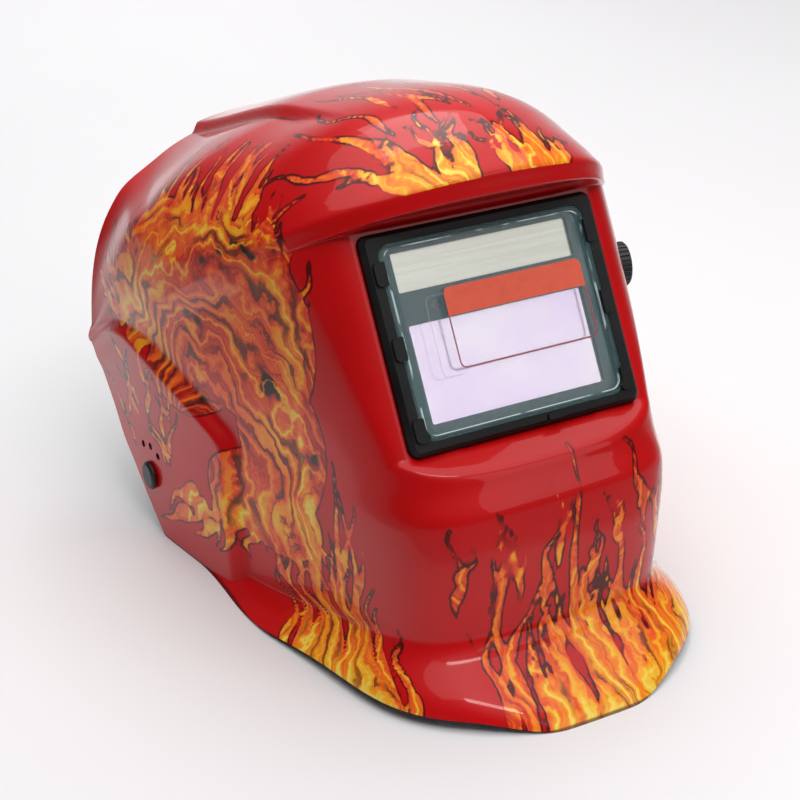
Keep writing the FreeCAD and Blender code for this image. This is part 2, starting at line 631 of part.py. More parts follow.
chips = [box("board_chip", "7", "5", "0.9", x=x, y=18.0, z=BOARD_FRONT - BOARD_THICK - 0.9)
         for x in (-24, 0, 24)]
finish(fuse("circuit_board", board_block, *chips), "circuit_board", WINDOW_PLACE)
cells = doc.addObject("Part::Compound", "coin_cells")
cells.Links = [cylinder("coin_cell", "10", "1.6", side * 20, 32.0, BOARD_FRONT - BOARD_THICK - 1.7)
               for side in (-1, 1)]
finish(cells, "coin_cells", WINDOW_PLACE)
finish(round_box("inner_cover_lens", "100", "52", "Sheet.inner_lens_thick", 2.0,
                 y=-size("view_drop"), z=CART_BACK - size("inner_lens_thick")),
       "inner_cover_lens", WINDOW_PLACE)


# ---------------------------------------------------------------- dials and mode slider
def make_dial(name, aside):
    """Ribbed dial on the wearer's side of the cartridge; its local z points at the wearer."""
    radius, height, shaft = size("dial_radius"), size("dial_height"), DIAL_SHAFT
    profile = [(0, -3.4), (shaft, -3.4), (shaft, 0.3), (radius, 0.3), (radius, height - 0.6),
               (radius - 0.6, height), (0, height)]
    body = turned_body(name, profile, [(4, 1, "Sheet.dial_radius")])
    flute(body, name + "_ribs", radius, 0.5, 20, 0.3, height + 1)
    place = WINDOW_PLACE.multiply(FreeCAD.Placement(
        vec(aside, DIAL_RISE, CART_BACK), FreeCAD.Rotation(X_AXIS, 180)))
    return finish(body, name, place)


make_dial("sensitivity_knob", -DIAL_ASIDE)
make_dial("delay_knob", DIAL_ASIDE)
slider_stem = box("slider_stem", "3.6", "2.8", "2.4", y=DIAL_RISE, z=CART_BACK - 0.2)
slider_cap = round_box("slider_cap", "7", "5", "1.8", 0.8, y=DIAL_RISE, z=CART_BACK - 2.0)
slider_ribs = [box("slider_rib", "0.6", "4.4", "0.5", x=x, y=DIAL_RISE, z=CART_BACK - 2.5)
               for x in (-1.6, 0, 1.6)]
finish(fuse("mode_slider", slider_stem, slider_cap, *slider_ribs), "mode_slider", WINDOW_PLACE)


# ---------------------------------------------------------------- retainer behind the cartridge
def make_retainer():
    thick = size("retainer_thick")
    plate = round_box("retainer_plate", "Sheet.cart_width + 6", "Sheet.cart_height + 6",
                      "Sheet.retainer_thick", 3.0, z=-BOX_END - thick)
    knuckles = []
    bridges = []
    for side in (-1, 1):
        start = 46.0 if side > 0 else -49.8
        knuckles.append(cylinder("retainer_knuckle", "3", "3.8", start, -HINGE_DROP, -HINGE_BACK, X_AXIS))
        bridges.append(box("retainer_bridge", "3.8", "6", "Sheet.retainer_thick", x=start + 1.9, y=-48.5,
                           z=-BOX_END - thick))
    posts = [box("retainer_post", "3", "7", str(BOX_END + CART_BACK - 0.05), x=sx * 53.0, y=sy * 38.0,
                 z=-BOX_END) for sx in (-1, 1) for sy in (-1, 1)]
    pull = round_box("retainer_pull", "18", "4", "2.5", 1.2, y=45.5, z=-BOX_END - thick - 2.5)
    opening = round_box("retainer_opening", "102", "84", "12", 3.0, y=1, z=-BOX_END - 6)
    pins = cylinder("retainer_bore", "Sheet.hinge_pin_radius + Sheet.hinge_play", "110", -55, -HINGE_DROP,
                    -HINGE_BACK, X_AXIS)
    return cut("cartridge_retainer", fuse("retainer_body", plate, pull, *knuckles, *bridges, *posts),
               opening, pins)


finish(make_retainer(), "cartridge_retainer", WINDOW_PLACE)
pins = doc.addObject("Part::Compound", "retainer_pins")
pins.Links = [cylinder("retainer_pin", "Sheet.hinge_pin_radius", "7.8", start, -HINGE_DROP, -HINGE_BACK,
                       X_AXIS) for start in (45.6, -53.4)]
finish(pins, "retainer_pins", WINDOW_PLACE)


# ---------------------------------------------------------------- shade knob and potentiometer
# local z runs out of the shell at the knob
SHADE_PLACE = FreeCAD.Placement(WINDOW + shade_spot, FreeCAD.Rotation(
    X_AXIS, UPWARD, shade_normal, "ZYX"))
POT_FACE = -size("shell_wall") - 0.9
NUT_TOP = 2.8


def make_shade_knob():
    radius, height, skirt = size("shade_radius"), size("shade_height"), size("shade_skirt")
    shaft = size("shaft_radius")
    profile = [(shaft, 4.2), (skirt, 4.2), (skirt, 0.9), (radius, 0.9), (radius, height - 0.8),
               (radius - 0.8, height), (shaft, height)]
    body = turned_body("shade_knob", profile, [(3, 1, "Sheet.shade_radius")])
    return flute(body, "shade_ribs", radius, 0.7, 28, 0.9, height + 1)


finish(make_shade_knob(), "shade_knob", SHADE_PLACE)
finish(turned_body("shade_shaft", [(0, POT_FACE + 0.6), (size("shaft_radius"), POT_FACE + 0.6),
                                   (size("shaft_radius"), size("shade_height") - 0.3),
                                   (0, size("shade_height") - 0.3)],
                   [(1, 1, "Sheet.shaft_radius")]), "shade_shaft", SHADE_PLACE)
POT_BACK = POT_FACE - size("pot_depth")
SHAFT_BORE = size("shaft_radius") + PLAY
finish(turned_body("shade_pot", [(0, POT_BACK), (size("pot_radius"), POT_BACK),
                                 (size("pot_radius"), POT_FACE),
                                 (size("bush_radius"), POT_FACE), (size("bush_radius"), NUT_TOP),
                                 (SHAFT_BORE, NUT_TOP), (SHAFT_BORE, POT_FACE + 0.5), (0, POT_FACE + 0.5)],
                   [(1, 1, "Sheet.pot_radius")]), "shade_pot", SHADE_PLACE)
washer = cut("pot_washer", cylinder("washer_disc", "7", "0.5", z=0.12),
             cylinder("washer_bore", "Sheet.bush_radius + 0.05", "2", z=-0.5))
finish(washer, "pot_washer", SHADE_PLACE)
hexagon = bind(doc.addObject("Part::Prism", "nut_hexagon"), Circumradius="6.4", Height="1.9")
hexagon.Placement.Base = vec(0, 0, 0.65)
finish(cut("pot_nut", hexagon, cylinder("nut_bore", "Sheet.bush_radius", "6", z=-1)), "pot_nut", SHADE_PLACE)


def arc_route(points, share=0.45):
    """Straight runs joined by tangent arcs."""
    edges = []
    start = points[0]
    for before, corner, after in zip(points, points[1:], points[2:]):
        back, ahead = before - corner, after - corner
        run = min(back.Length, ahead.Length) * share
        back.normalize()
        ahead.normalize()
        half = math.acos(max(-1, min(1, back.dot(ahead)))) / 2
        first, last = corner + back * run, corner + ahead * run
        bisector = back + ahead
        bisector.normalize()
        centre_gap = run / math.cos(half)
        middle = corner + bisector * (centre_gap - run * math.tan(half))
        edges.append(Part.LineSegment(start, first).toShape())
        edges.append(Part.Arc(first, middle, last).toShape())
        start = last
    edges.append(Part.LineSegment(start, points[-1]).toShape())
    return Part.Wire(edges)


def tube(points, radius):
    route = arc_route(points)
    direction = points[1] - points[0]
    ring = Part.Wire([Part.Circle(points[0], direction, radius).toShape()])
    return route.makePipeShell([ring], True, True)


def in_window(x, y, z):
    return WINDOW_PLACE.multVec(vec(x, y, z))


POT_END = SHADE_PLACE.multVec(vec(0, 0, POT_BACK))
POT_INWARD = shade_normal * -1
LEAD_DEPTH = CART_BACK + 1.8          # where the lead enters the cartridge's side
LEAD_END = in_window(size("cart_width") / 2 + 0.05, LEAD_RISE, LEAD_DEPTH)
LEAD_POINTS = [POT_END + POT_INWARD * 0.05, POT_END + POT_INWARD * 9, in_window(66, LEAD_RISE + 1, -25),
               in_window(66, LEAD_RISE, LEAD_DEPTH), LEAD_END]


# ---------------------------------------------------------------- side pivots
ARM_OUTER = 106.6
ARM_INNER_PLATE = 82.0
ARM_DROP = 13.0
ARM_RISE = 37.0
NUT_START = ARM_OUTER - size("arm_thick") - size("nut_height") - 0.1
SKIN_INSIDE = PIVOT_SKIN - size("shell_wall")
STUD_RADIUS = 2.5
REACH_TRAVEL = 8.0
HEAD_GAP = 0.8           # under the bolt head, whose wall is not quite square to the bolt
STOP_GAP = 1.2           # between the tilt stop and the shell, whose wall leans inwards


def sided(name, side, builder):
    """Build a piece for the +X side with its local z along +X, or turned round for the -X side."""
    turn = FreeCAD.Rotation(Y_AXIS, 90) if side > 0 else FreeCAD.Rotation(Y_AXIS, -90)
    return finish(builder(name), name, FreeCAD.Placement(PIVOT, turn))


def make_bolt(name):
    head = size("bolt_head_radius")
    skin = PIVOT_SKIN + HEAD_GAP
    profile = [(0, NUT_START - 1.5), (size("bolt_radius"), NUT_START - 1.5), (size("bolt_radius"), skin),
               (head, skin), (head, skin + 1.2), (head - 1.2, skin + size("bolt_head_height")),
               (0, skin + size("bolt_head_height"))]
    return turned_body(name, profile, [(1, 1, "Sheet.bolt_radius")])


def make_hand_nut(name):
    bore = size("bolt_radius") + PLAY
    top = NUT_START + size("nut_height")
    outer = size("nut_radius")
    profile = [(bore, NUT_START), (outer - 1.5, NUT_START), (outer, NUT_START + 1.5),
               (outer, top - 3), (outer - 5, top), (bore, top)]
    body = turned_body(name, profile, [(3, 1, "Sheet.nut_radius")])
    return flute(body, name + "_grips", size("nut_radius"), 2.2, 9, NUT_START - 1, top + 1)


def make_friction_washer(name):
    bore = size("bolt_radius") + PLAY
    return turned_body(name, [(bore, ARM_OUTER + 0.05), (11, ARM_OUTER + 0.05), (11, ARM_OUTER + 0.75),
                              (bore, ARM_OUTER + 0.75)])


for side, word in ((1, "left"), (-1, "right")):
    sided("pivot_bolt_" + word, side, make_bolt)
    sided("hand_nut_" + word, side, make_hand_nut)
    sided("friction_washer_" + word, side, make_friction_washer)


def mirrored(shape, side):
    return shape if side > 0 else shape.mirror(PIVOT, X_AXIS)


def make_tilt_stop(side):
    start = ARM_OUTER + 0.8
    thick = SKIN_INSIDE - STOP_GAP - start
    disc = Part.makeCylinder(11, thick, PIVOT + X_AXIS * start, X_AXIS)
    peg_centre = PIVOT + peg_spot(PEG_ANGLES[1]) + X_AXIS * start
    tongue = Part.makeCylinder(4.5, thick * 0.6, peg_centre, X_AXIS)
    web = Part.makeBox(thick * 0.6, 9, PEG_DISTANCE, PIVOT + vec(start, -4.5, 0))
    peg = Part.makeCylinder(PEG_RADIUS, PIVOT_SKIN - start - 0.6, peg_centre, X_AXIS)
    shape = disc.fuse([tongue, web, peg])
    shape = shape.cut(Part.makeCylinder(size("bolt_radius"), 40, PIVOT + X_AXIS * (start - 5), X_AXIS))
    return mirrored(shape.removeSplitter(), side)


def make_arm(side):
    thick, width = size("arm_thick"), size("arm_width")
    outline = [(ARM_OUTER, -ARM_DROP), (ARM_OUTER, ARM_RISE), (ARM_INNER_PLATE, ARM_RISE),
               (ARM_INNER_PLATE, ARM_RISE - 24), (ARM_INNER_PLATE + thick, ARM_RISE - 24),
               (ARM_INNER_PLATE + thick, ARM_RISE - thick), (ARM_OUTER - thick, ARM_RISE - thick),
               (ARM_OUTER - thick, -ARM_DROP)]
    wire = Part.makePolygon([PIVOT + vec(x, -width / 2, z) for x, z in outline + outline[:1]])
    shape = Part.Face(wire).extrude(vec(0, width, 0))
    bends = [e for e in shape.Edges if abs(e.tangentAt(e.FirstParameter).y) > 0.9
             and abs(e.Vertexes[0].Z - PIVOT.z - ARM_RISE) < 0.1]
    shape = shape.makeFillet(2.0, bends)
    foot = [e for e in shape.Edges if abs(e.tangentAt(e.FirstParameter).x) > 0.9
            and abs(e.Vertexes[0].Z - PIVOT.z + ARM_DROP) < 0.1]
    shape = shape.makeFillet(12.0, foot)
    shape = shape.cut(Part.makeCylinder(size("bolt_radius") + PLAY, 20, PIVOT + X_AXIS * 95, X_AXIS))
    slot_half = REACH_TRAVEL
    slot_z = size("band_rise")
    slot = Part.makeBox(8, 2 * slot_half, 2 * (STUD_RADIUS + PLAY),
                        PIVOT + vec(80, -slot_half, slot_z - STUD_RADIUS - PLAY))
    for end in (-1, 1):
        slot_end = PIVOT + vec(80, end * slot_half, slot_z)
        slot = slot.fuse(Part.makeCylinder(STUD_RADIUS + PLAY, 8, slot_end, X_AXIS))
    return mirrored(shape.cut(slot), side)


for side, word in ((1, "left"), (-1, "right")):
    feature("tilt_stop_" + word, make_tilt_stop(side))
    feature("side_arm_" + word, make_arm(side))


# ---------------------------------------------------------------- headband
def ring_samples(start, end, steps):
    """Points and outward directions of the headband's inner face, seen from above.

    The position runs from -1 (front middle) over 0 (side, level with the pivot) to 1
    (where the side meets the rear corner) and 2 (rear middle), on the +X side.
    """
    half, front, rear, corner = (size("band_half_width"), size("band_front"), size("band_rear"),
                                 size("band_corner"))
    samples = []
    for k in range(steps + 1):
        place = start + (end - start) * k / steps
        if place <= 0:
            turn = math.pi / 2 * (place + 1)
            x, y = half * math.sin(turn), -front * math.cos(turn)
            nx, ny = math.sin(turn) / half, -math.cos(turn) / front
        elif place <= 1:
            x, y, nx, ny = half, (rear - corner) * place, 1, 0
        else:
            arc = corner * math.pi / 2
            run = (place - 1) * (arc + half - corner)
            if run < arc:
                turn = run / corner
                nx, ny = math.cos(turn), math.sin(turn)
                x, y = half - corner + corner * nx, rear - corner + corner * ny
            else:
                x, y, nx, ny = half - corner - (run - arc), rear, 0, 1
        length = math.hypot(nx, ny)
        samples.append((x, y, nx / length, ny / length))
    return samples


def strip(samples, inner, outer, low, high, lift=None):
    """Solid strip that stands between two offsets of a sampled line and two heights."""
    lines = []
    for offset in (inner, outer):
        points = []
        for x, y, nx, ny in samples:
            extra = lift(x) if lift else 0.0
            points.append(vec(x + nx * (offset + extra), y + ny * (offset + extra), low))
        curve = Part.BSplineCurve()
        curve.interpolate(points)
        lines.append(curve)
    edges = [lines[0].toShape(), Part.makeLine(lines[0].EndPoint, lines[1].EndPoint),
             lines[1].toShape(), Part.makeLine(lines[1].StartPoint, lines[0].StartPoint)]
    return Part.Face(Part.Wire(Part.__sortEdges__(edges))).extrude(vec(0, 0, high - low))


def both_sides(samples):
    return [(-x, y, -nx, ny) for x, y, nx, ny in reversed(samples[1:])] + samples


BAND_HALF_HEIGHT = size("band_height") / 2
BAND_PLACE = FreeCAD.Placement(BAND_MIDDLE, FreeCAD.Rotation())
SIDE_END = 0.45        # where the front band's ends stop, along the straight side
REAR_START = 0.26
BAND_SKIN = size("band_thick")
REAR_INNER = BAND_SKIN + 0.1
RIVET_BEHIND = 26.0
RIVET_RADIUS = 2.2


def side_bore(radius, behind, above=0.0, low=60.0, high=100.0):
    """Bores along X through both sides of the band."""
    shapes = []
    for side in (-1, 1):
        shapes.append(Part.makeCylinder(radius, high - low, vec(side * low, behind, above), X_AXIS * side))
    return shapes


front_samples = both_sides(ring_samples(-1, 0, 24) + ring_samples(0, SIDE_END, 6)[1:])
front_band = strip(front_samples, 0, BAND_SKIN, -BAND_HALF_HEIGHT, BAND_HALF_HEIGHT)
front_band = front_band.cut(side_bore(STUD_RADIUS, 0) + side_bore(RIVET_RADIUS, RIVET_BEHIND))
VENT_TURNS = (-50, -30, 30, 50)
for degrees in VENT_TURNS:
    turn = math.radians(degrees)
    aim = vec(math.sin(turn), -math.cos(turn), 0)
    front_band = front_band.cut(Part.makeCylinder(4.0, 130, vec(0, 0, 0), aim))
feature("front_band", front_band, BAND_PLACE)

PAD_OUT = -size("pad_gap")
PAD_SPAN = 0.24
pad_samples = both_sides(ring_samples(-1, -PAD_SPAN, 24))
feature("sweatband", strip(pad_samples, PAD_OUT - size("pad_thick"), PAD_OUT, -BAND_HALF_HEIGHT + 0.5,
                           BAND_HALF_HEIGHT - 0.5), BAND_PLACE)

SLEEVE_START = 22.0
SLEEVE_HALF_HEIGHT = 10.0
SLOT_HALF_HEIGHT = 8.2
RACK_THICK = 1.8
RACK_MIDDLE = size("band_rear") + 2.8


def make_rear_band(side):
    samples = ring_samples(REAR_START, 1, 10) + ring_samples(1, 1.62, 16)[1:]
    shape = strip(samples, REAR_INNER, REAR_INNER + BAND_SKIN, -SLEEVE_HALF_HEIGHT, SLEEVE_HALF_HEIGHT)
    sleeve = Part.makeBox(size("sleeve_length"), 5.2, 2 * SLEEVE_HALF_HEIGHT,
                          vec(SLEEVE_START, RACK_MIDDLE - 2.6, -SLEEVE_HALF_HEIGHT))
    shape = shape.fuse(sleeve)
    slot_corner = vec(SLEEVE_START - 4, RACK_MIDDLE - RACK_THICK / 2 - 0.2, -SLOT_HALF_HEIGHT)
    shape = shape.cut(Part.makeBox(size("sleeve_length") + 2, RACK_THICK + 0.4, 2 * SLOT_HALF_HEIGHT,
                                   slot_corner))
    shape = shape.cut(side_bore(RIVET_RADIUS, RIVET_BEHIND))
    return shape if side > 0 else shape.mirror(vec(0, 0, 0), X_AXIS)


for side, word in ((1, "left"), (-1, "right")):
    feature("rear_band_" + word, make_rear_band(side), BAND_PLACE)


def make_rivets():
    half = size("band_half_width")
    rivets = []
    for side in (-1, 1):
        shank = Part.makeCylinder(RIVET_RADIUS, REAR_INNER + BAND_SKIN,
                                  vec(side * half, RIVET_BEHIND, 0), X_AXIS * side)
        inner = Part.makeCylinder(4, 1.0, vec(side * (half - 1.0), RIVET_BEHIND, 0), X_AXIS * side)
        outer = Part.makeCylinder(4, 1.0, vec(side * (half + REAR_INNER + BAND_SKIN), RIVET_BEHIND, 0),
                                  X_AXIS * side)
        rivets.append(shank.fuse([inner, outer]).removeSplitter())
    return Part.Compound(rivets)


feature("band_rivets", make_rivets(), BAND_PLACE)


# ---------------------------------------------------------------- crown strap
STRAP_INNER = size("band_half_width") + BAND_SKIN + 0.15
STRAP_FOOT = -10.0
STRAP_SPRING = 20.0            # where the arch starts above the band's middle
STRAP_LAP = 24.0
PEG_ASIDE = 8.0
CROWN_PEG_RADIUS = 2.0


def strap_samples(lap):
    """Strap line from the +X foot over the top and past the middle by lap, as (x, height)."""
    rise = size("strap_height") - STRAP_SPRING
    samples = [(STRAP_INNER, STRAP_FOOT + (STRAP_SPRING - STRAP_FOOT) * k / 5, 1, 0) for k in range(5)]
    end_turn = math.pi / 2 + math.asin(lap / STRAP_INNER)
    for k in range(29):
        turn = end_turn * k / 28
        nx, nz = math.cos(turn) / STRAP_INNER, math.sin(turn) / rise
        length = math.hypot(nx, nz)
        samples.append((STRAP_INNER * math.cos(turn), STRAP_SPRING + rise * math.sin(turn),
                        nx / length, nz / length))
    return samples


def strap_bores(radius):
    top = size("strap_height")
    bores = [Part.makeCylinder(radius, 20, vec(side * PEG_ASIDE, top - 10, 0), Y_AXIS) for side in (-1, 1)]
    bores.append(Part.makeCylinder(STUD_RADIUS, 30, vec(STRAP_INNER - 15, 0, 0), X_AXIS))
    return bores


def over_lap(x):
    """How far the upper strap is lifted so that it passes over the lower one."""
    return (size("strap_thick") + 0.1) * (1 - smooth_step(26, 44, x))


def make_strap(side):
    shape = strip(strap_samples(STRAP_LAP), 0, size("strap_thick"), -size("strap_width") / 2,
                  size("strap_width") / 2, over_lap if side > 0 else None)
    shape = shape.cut(strap_bores(CROWN_PEG_RADIUS))
    shape.rotate(vec(0, 0, 0), X_AXIS, 90)          # the strap's height now runs along +Z
    return settled(shape if side > 0 else shape.mirror(vec(0, 0, 0), X_AXIS))


for side, word in ((1, "left"), (-1, "right")):
    feature("crown_strap_" + word, make_strap(side), BAND_PLACE)


def make_crown_peg():
    top = size("strap_height")
    bar = Part.makeBox(26, 9, 1.6, vec(-13, -4.5, top + 3.1))
    bar = bar.makeFillet(3.5, [e for e in bar.Edges if abs(e.tangentAt(e.FirstParameter).z) > 0.9])
    studs = [Part.makeCylinder(CROWN_PEG_RADIUS, 5.6, vec(side * PEG_ASIDE, 0, top - 1.7))
             for side in (-1, 1)]
    return bar.fuse(studs)


feature("crown_peg", make_crown_peg(), BAND_PLACE)


def make_reach_studs():
    studs = []
    for side in (-1, 1):
        start = size("band_half_width")
        shank = Part.makeCylinder(STUD_RADIUS, ARM_INNER_PLATE + size("arm_thick") + 0.5 - start,
                                  vec(side * (start - 0.2), 0, 0), X_AXIS * side)
        inner = Part.makeCylinder(4.5, 1.0, vec(side * (start - 1.2), 0, 0), X_AXIS * side)
        cap = Part.makeCylinder(4.5, 1.6, vec(side * (ARM_INNER_PLATE + size("arm_thick") + 0.3), 0, 0),
                                X_AXIS * side)
        studs.append(shank.fuse([inner, cap]).removeSplitter())
    return Part.Compound(studs)


feature("reach_studs", make_reach_studs(), BAND_PLACE)


# ---------------------------------------------------------------- size ratchet
PITCH_RADIUS = size("gear_module") * size("gear_teeth") / 2
TOOTH_PITCH = math.pi * size("gear_module")
TIP_RADIUS = PITCH_RADIUS + 0.7
ROOT_RADIUS = PITCH_RADIUS - 1.1
RACK_TIP = PITCH_RADIUS - 0.7
RACK_ROOT = PITCH_RADIUS + 0.9
RACK_BACK = 7.9
RACK_INNER_END = 18.0
RACK_OUTER_END = -36.0
SLOT_BACK = RACK_MIDDLE + RACK_THICK / 2 + 0.2


def make_pinion():
    """Pinion and its shaft; local z runs backwards from the headband's inner face."""
    start = RACK_MIDDLE - size("band_rear") - RACK_THICK / 2
    wheel = Part.makeCylinder(ROOT_RADIUS, RACK_THICK, vec(0, 0, start))
    for number in range(int(size("gear_teeth"))):
        tooth = Part.makePolygon([vec(ROOT_RADIUS - 0.4, -0.8, start), vec(TIP_RADIUS, -0.35, start),
                                  vec(TIP_RADIUS, 0.35, start), vec(ROOT_RADIUS - 0.4, 0.8, start),
                                  vec(ROOT_RADIUS - 0.4, -0.8, start)])
        tooth = Part.Face(tooth).extrude(vec(0, 0, RACK_THICK))
        tooth.rotate(vec(0, 0, 0), Z_AXIS, 90 + number * 360 / size("gear_teeth"))
        wheel = wheel.fuse(tooth)
    shaft = Part.makeCylinder(3.0, size("ratchet_depth") + 6 - start, vec(0, 0, start))
    return wheel.fuse(shaft).removeSplitter()


feature("ratchet_pinion", make_pinion(), REAR_PLACE)


def make_rack(upper):
    """Toothed tongue.  The upper one runs into the -X sleeve, the lower one into the +X sleeve."""
    bar = Part.makeBox(RACK_INNER_END - RACK_OUTER_END, RACK_THICK, RACK_BACK - RACK_ROOT,
                       vec(RACK_OUTER_END, RACK_MIDDLE - RACK_THICK / 2, RACK_ROOT))
    offset = 0.5 if upper else 0.0
    first = int(RACK_OUTER_END / 2 / TOOTH_PITCH) - 1
    last = int(RACK_INNER_END / TOOTH_PITCH)
    for number in range(first, last):
        middle = (number + offset) * TOOTH_PITCH
        corners = [(-0.8, RACK_ROOT + 0.2), (-0.35, RACK_TIP), (0.35, RACK_TIP), (0.8, RACK_ROOT + 0.2)]
        wire = Part.makePolygon([vec(middle + x, RACK_MIDDLE - RACK_THICK / 2, z)
                                 for x, z in corners + corners[:1]])
        bar = bar.fuse(Part.Face(wire).extrude(vec(0, RACK_THICK, 0)))
    bar = bar.removeSplitter()
    if not upper:
        bar.rotate(vec(0, 0, 0), Y_AXIS, 180)
    return settled(bar)


feature("size_rack_right", make_rack(True), BAND_PLACE)
feature("size_rack_left", make_rack(False), BAND_PLACE)


def make_ratchet_housing():
    half, depth, height = size("ratchet_half"), size("ratchet_depth"), size("ratchet_height")
    rear = size("band_rear")
    block = Part.makeBox(2 * half, depth, height, vec(-half, rear, -height / 2))
    block = block.makeFillet(5, [e for e in block.Edges if abs(e.tangentAt(e.FirstParameter).y) > 0.9])
    edges = [e for e in block.Edges if min(v.Y for v in e.Vertexes) > rear + depth - 0.01]
    block = block.makeFillet(1.5, edges)
    slot = Part.makeBox(2 * half + 4, RACK_THICK + 0.4, 2 * SLOT_HALF_HEIGHT,
                        vec(-half - 2, RACK_MIDDLE - RACK_THICK / 2 - 0.2, -SLOT_HALF_HEIGHT))
    bore = Part.makeCylinder(3.0 + PLAY, 30, vec(0, SLOT_BACK - 0.2, 0), Y_AXIS)
    return block.cut([slot, bore])


feature("ratchet_housing", make_ratchet_housing(), BAND_PLACE)

KNOB_START = size("ratchet_depth") + 0.4


def make_ratchet_knob():
    radius, depth = size("ratchet_knob_radius"), size("ratchet_knob_depth")
    profile = [(3.0, KNOB_START), (radius - 1.5, KNOB_START), (radius, KNOB_START + 1.5),
               (radius, KNOB_START + depth - 3), (radius - 3, KNOB_START + depth),
               (6, KNOB_START + depth - 1.0), (3.0, KNOB_START + depth - 1.0)]
    body = turned_body("ratchet_knob", profile, [(3, 1, "Sheet.ratchet_knob_radius")])
    return flute(body, "ratchet_grips", radius, 1.6, 16, KNOB_START - 1, KNOB_START + depth + 1)


finish(make_ratchet_knob(), "ratchet_knob", REAR_PLACE)
KNOB_SCREW_TOP = KNOB_START + size("ratchet_knob_depth") - 1.0
finish(turned_body("knob_screw", [(0, size("ratchet_depth") + 6.0), (3.0, size("ratchet_depth") + 6.0),
                                  (3.0, KNOB_SCREW_TOP), (5.5, KNOB_SCREW_TOP), (5.5, KNOB_SCREW_TOP + 0.9),
                                  (0, KNOB_SCREW_TOP + 1.4)]), "knob_screw", REAR_PLACE)

rear_pad = Part.makeBox(66, 7, 30, vec(-33, size("band_rear") - 8.0, -15))
rear_pad = rear_pad.makeFillet(6, [e for e in rear_pad.Edges if abs(e.tangentAt(e.FirstParameter).y) > 0.9])
feature("rear_pad", rear_pad, BAND_PLACE)
feature("shade_lead", tube(LEAD_POINTS, size("lead_radius")))


# ---------------------------------------------------------------- checks and files
doc.recompute()
for obj in doc.Objects:
    if "Invalid" in obj.State or "Error" in obj.State:
        raise RuntimeError("%s is %s" % (obj.Name, obj.State))
for obj in SUB_PARTS:
    if obj.Shape.isNull() or not obj.Shape.isValid():
        raise RuntimeError(obj.Label + " has no valid shape")
    if not obj.Shape.Solids:
        raise RuntimeError(obj.Label + " has no solid")

os.makedirs("parts", exist_ok=True)
for obj in SUB_PARTS:
    obj.Shape.exportStep(os.path.join("parts", obj.Label + ".step"))
print(len(SUB_PARTS), "sub-parts written")
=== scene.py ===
import json
import math
import random

import bpy
import numpy as np
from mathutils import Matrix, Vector


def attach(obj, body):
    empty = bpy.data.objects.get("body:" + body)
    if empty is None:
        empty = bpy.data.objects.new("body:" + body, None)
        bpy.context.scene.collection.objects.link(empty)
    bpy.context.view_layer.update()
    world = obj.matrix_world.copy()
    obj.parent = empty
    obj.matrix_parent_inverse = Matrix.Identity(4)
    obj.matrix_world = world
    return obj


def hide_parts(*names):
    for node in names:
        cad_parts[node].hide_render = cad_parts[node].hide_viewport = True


# Looks of the welding helmet.  Lengths are in metres, or in millimetres where a name ends in _MM or
# _mm.  The shell is worked out in millimetres from the middle of the window.
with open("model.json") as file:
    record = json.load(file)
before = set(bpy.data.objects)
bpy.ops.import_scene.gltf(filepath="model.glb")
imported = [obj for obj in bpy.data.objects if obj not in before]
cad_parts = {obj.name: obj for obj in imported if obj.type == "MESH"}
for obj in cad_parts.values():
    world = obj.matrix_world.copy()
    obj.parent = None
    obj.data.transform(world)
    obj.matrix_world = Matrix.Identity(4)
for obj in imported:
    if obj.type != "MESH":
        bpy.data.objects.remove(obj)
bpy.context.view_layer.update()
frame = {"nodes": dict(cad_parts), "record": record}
nodes = frame["nodes"]
MM = 0.001

# ---- places read from the frame
record = frame["record"]
joints = {j["name"]: j for j in record["behaviour"]["joints"]}
view_mount = [m for m in record["mounts"] if m["name"] == "view_window"][0]
OUTWARD = Vector(view_mount["axis"]).normalized()
UPWARD = Vector((0, OUTWARD.z, -OUTWARD.y)).normalized()
PLATE_FRONT = 4.5 * MM  # from the window's plane forward to the view mount
WINDOW = Vector(view_mount["pos_m"]) - OUTWARD * PLATE_FRONT
PIVOT = Vector(joints["headgear_tilt"]["pos_m"])
SHADE = Vector(joints["shade_turn"]["pos_m"])
SHADE_AXIS = Vector(joints["shade_turn"]["axis"]).normalized()
WALL_MM = 2.5
OUT_MM = np.array(OUTWARD)
UP_MM = np.array(UPWARD)
WINDOW_MM = np.array(WINDOW) / MM


def new_object(name, data):
    obj = bpy.data.objects.new(name, data)
    bpy.context.scene.collection.objects.link(obj)
    return obj


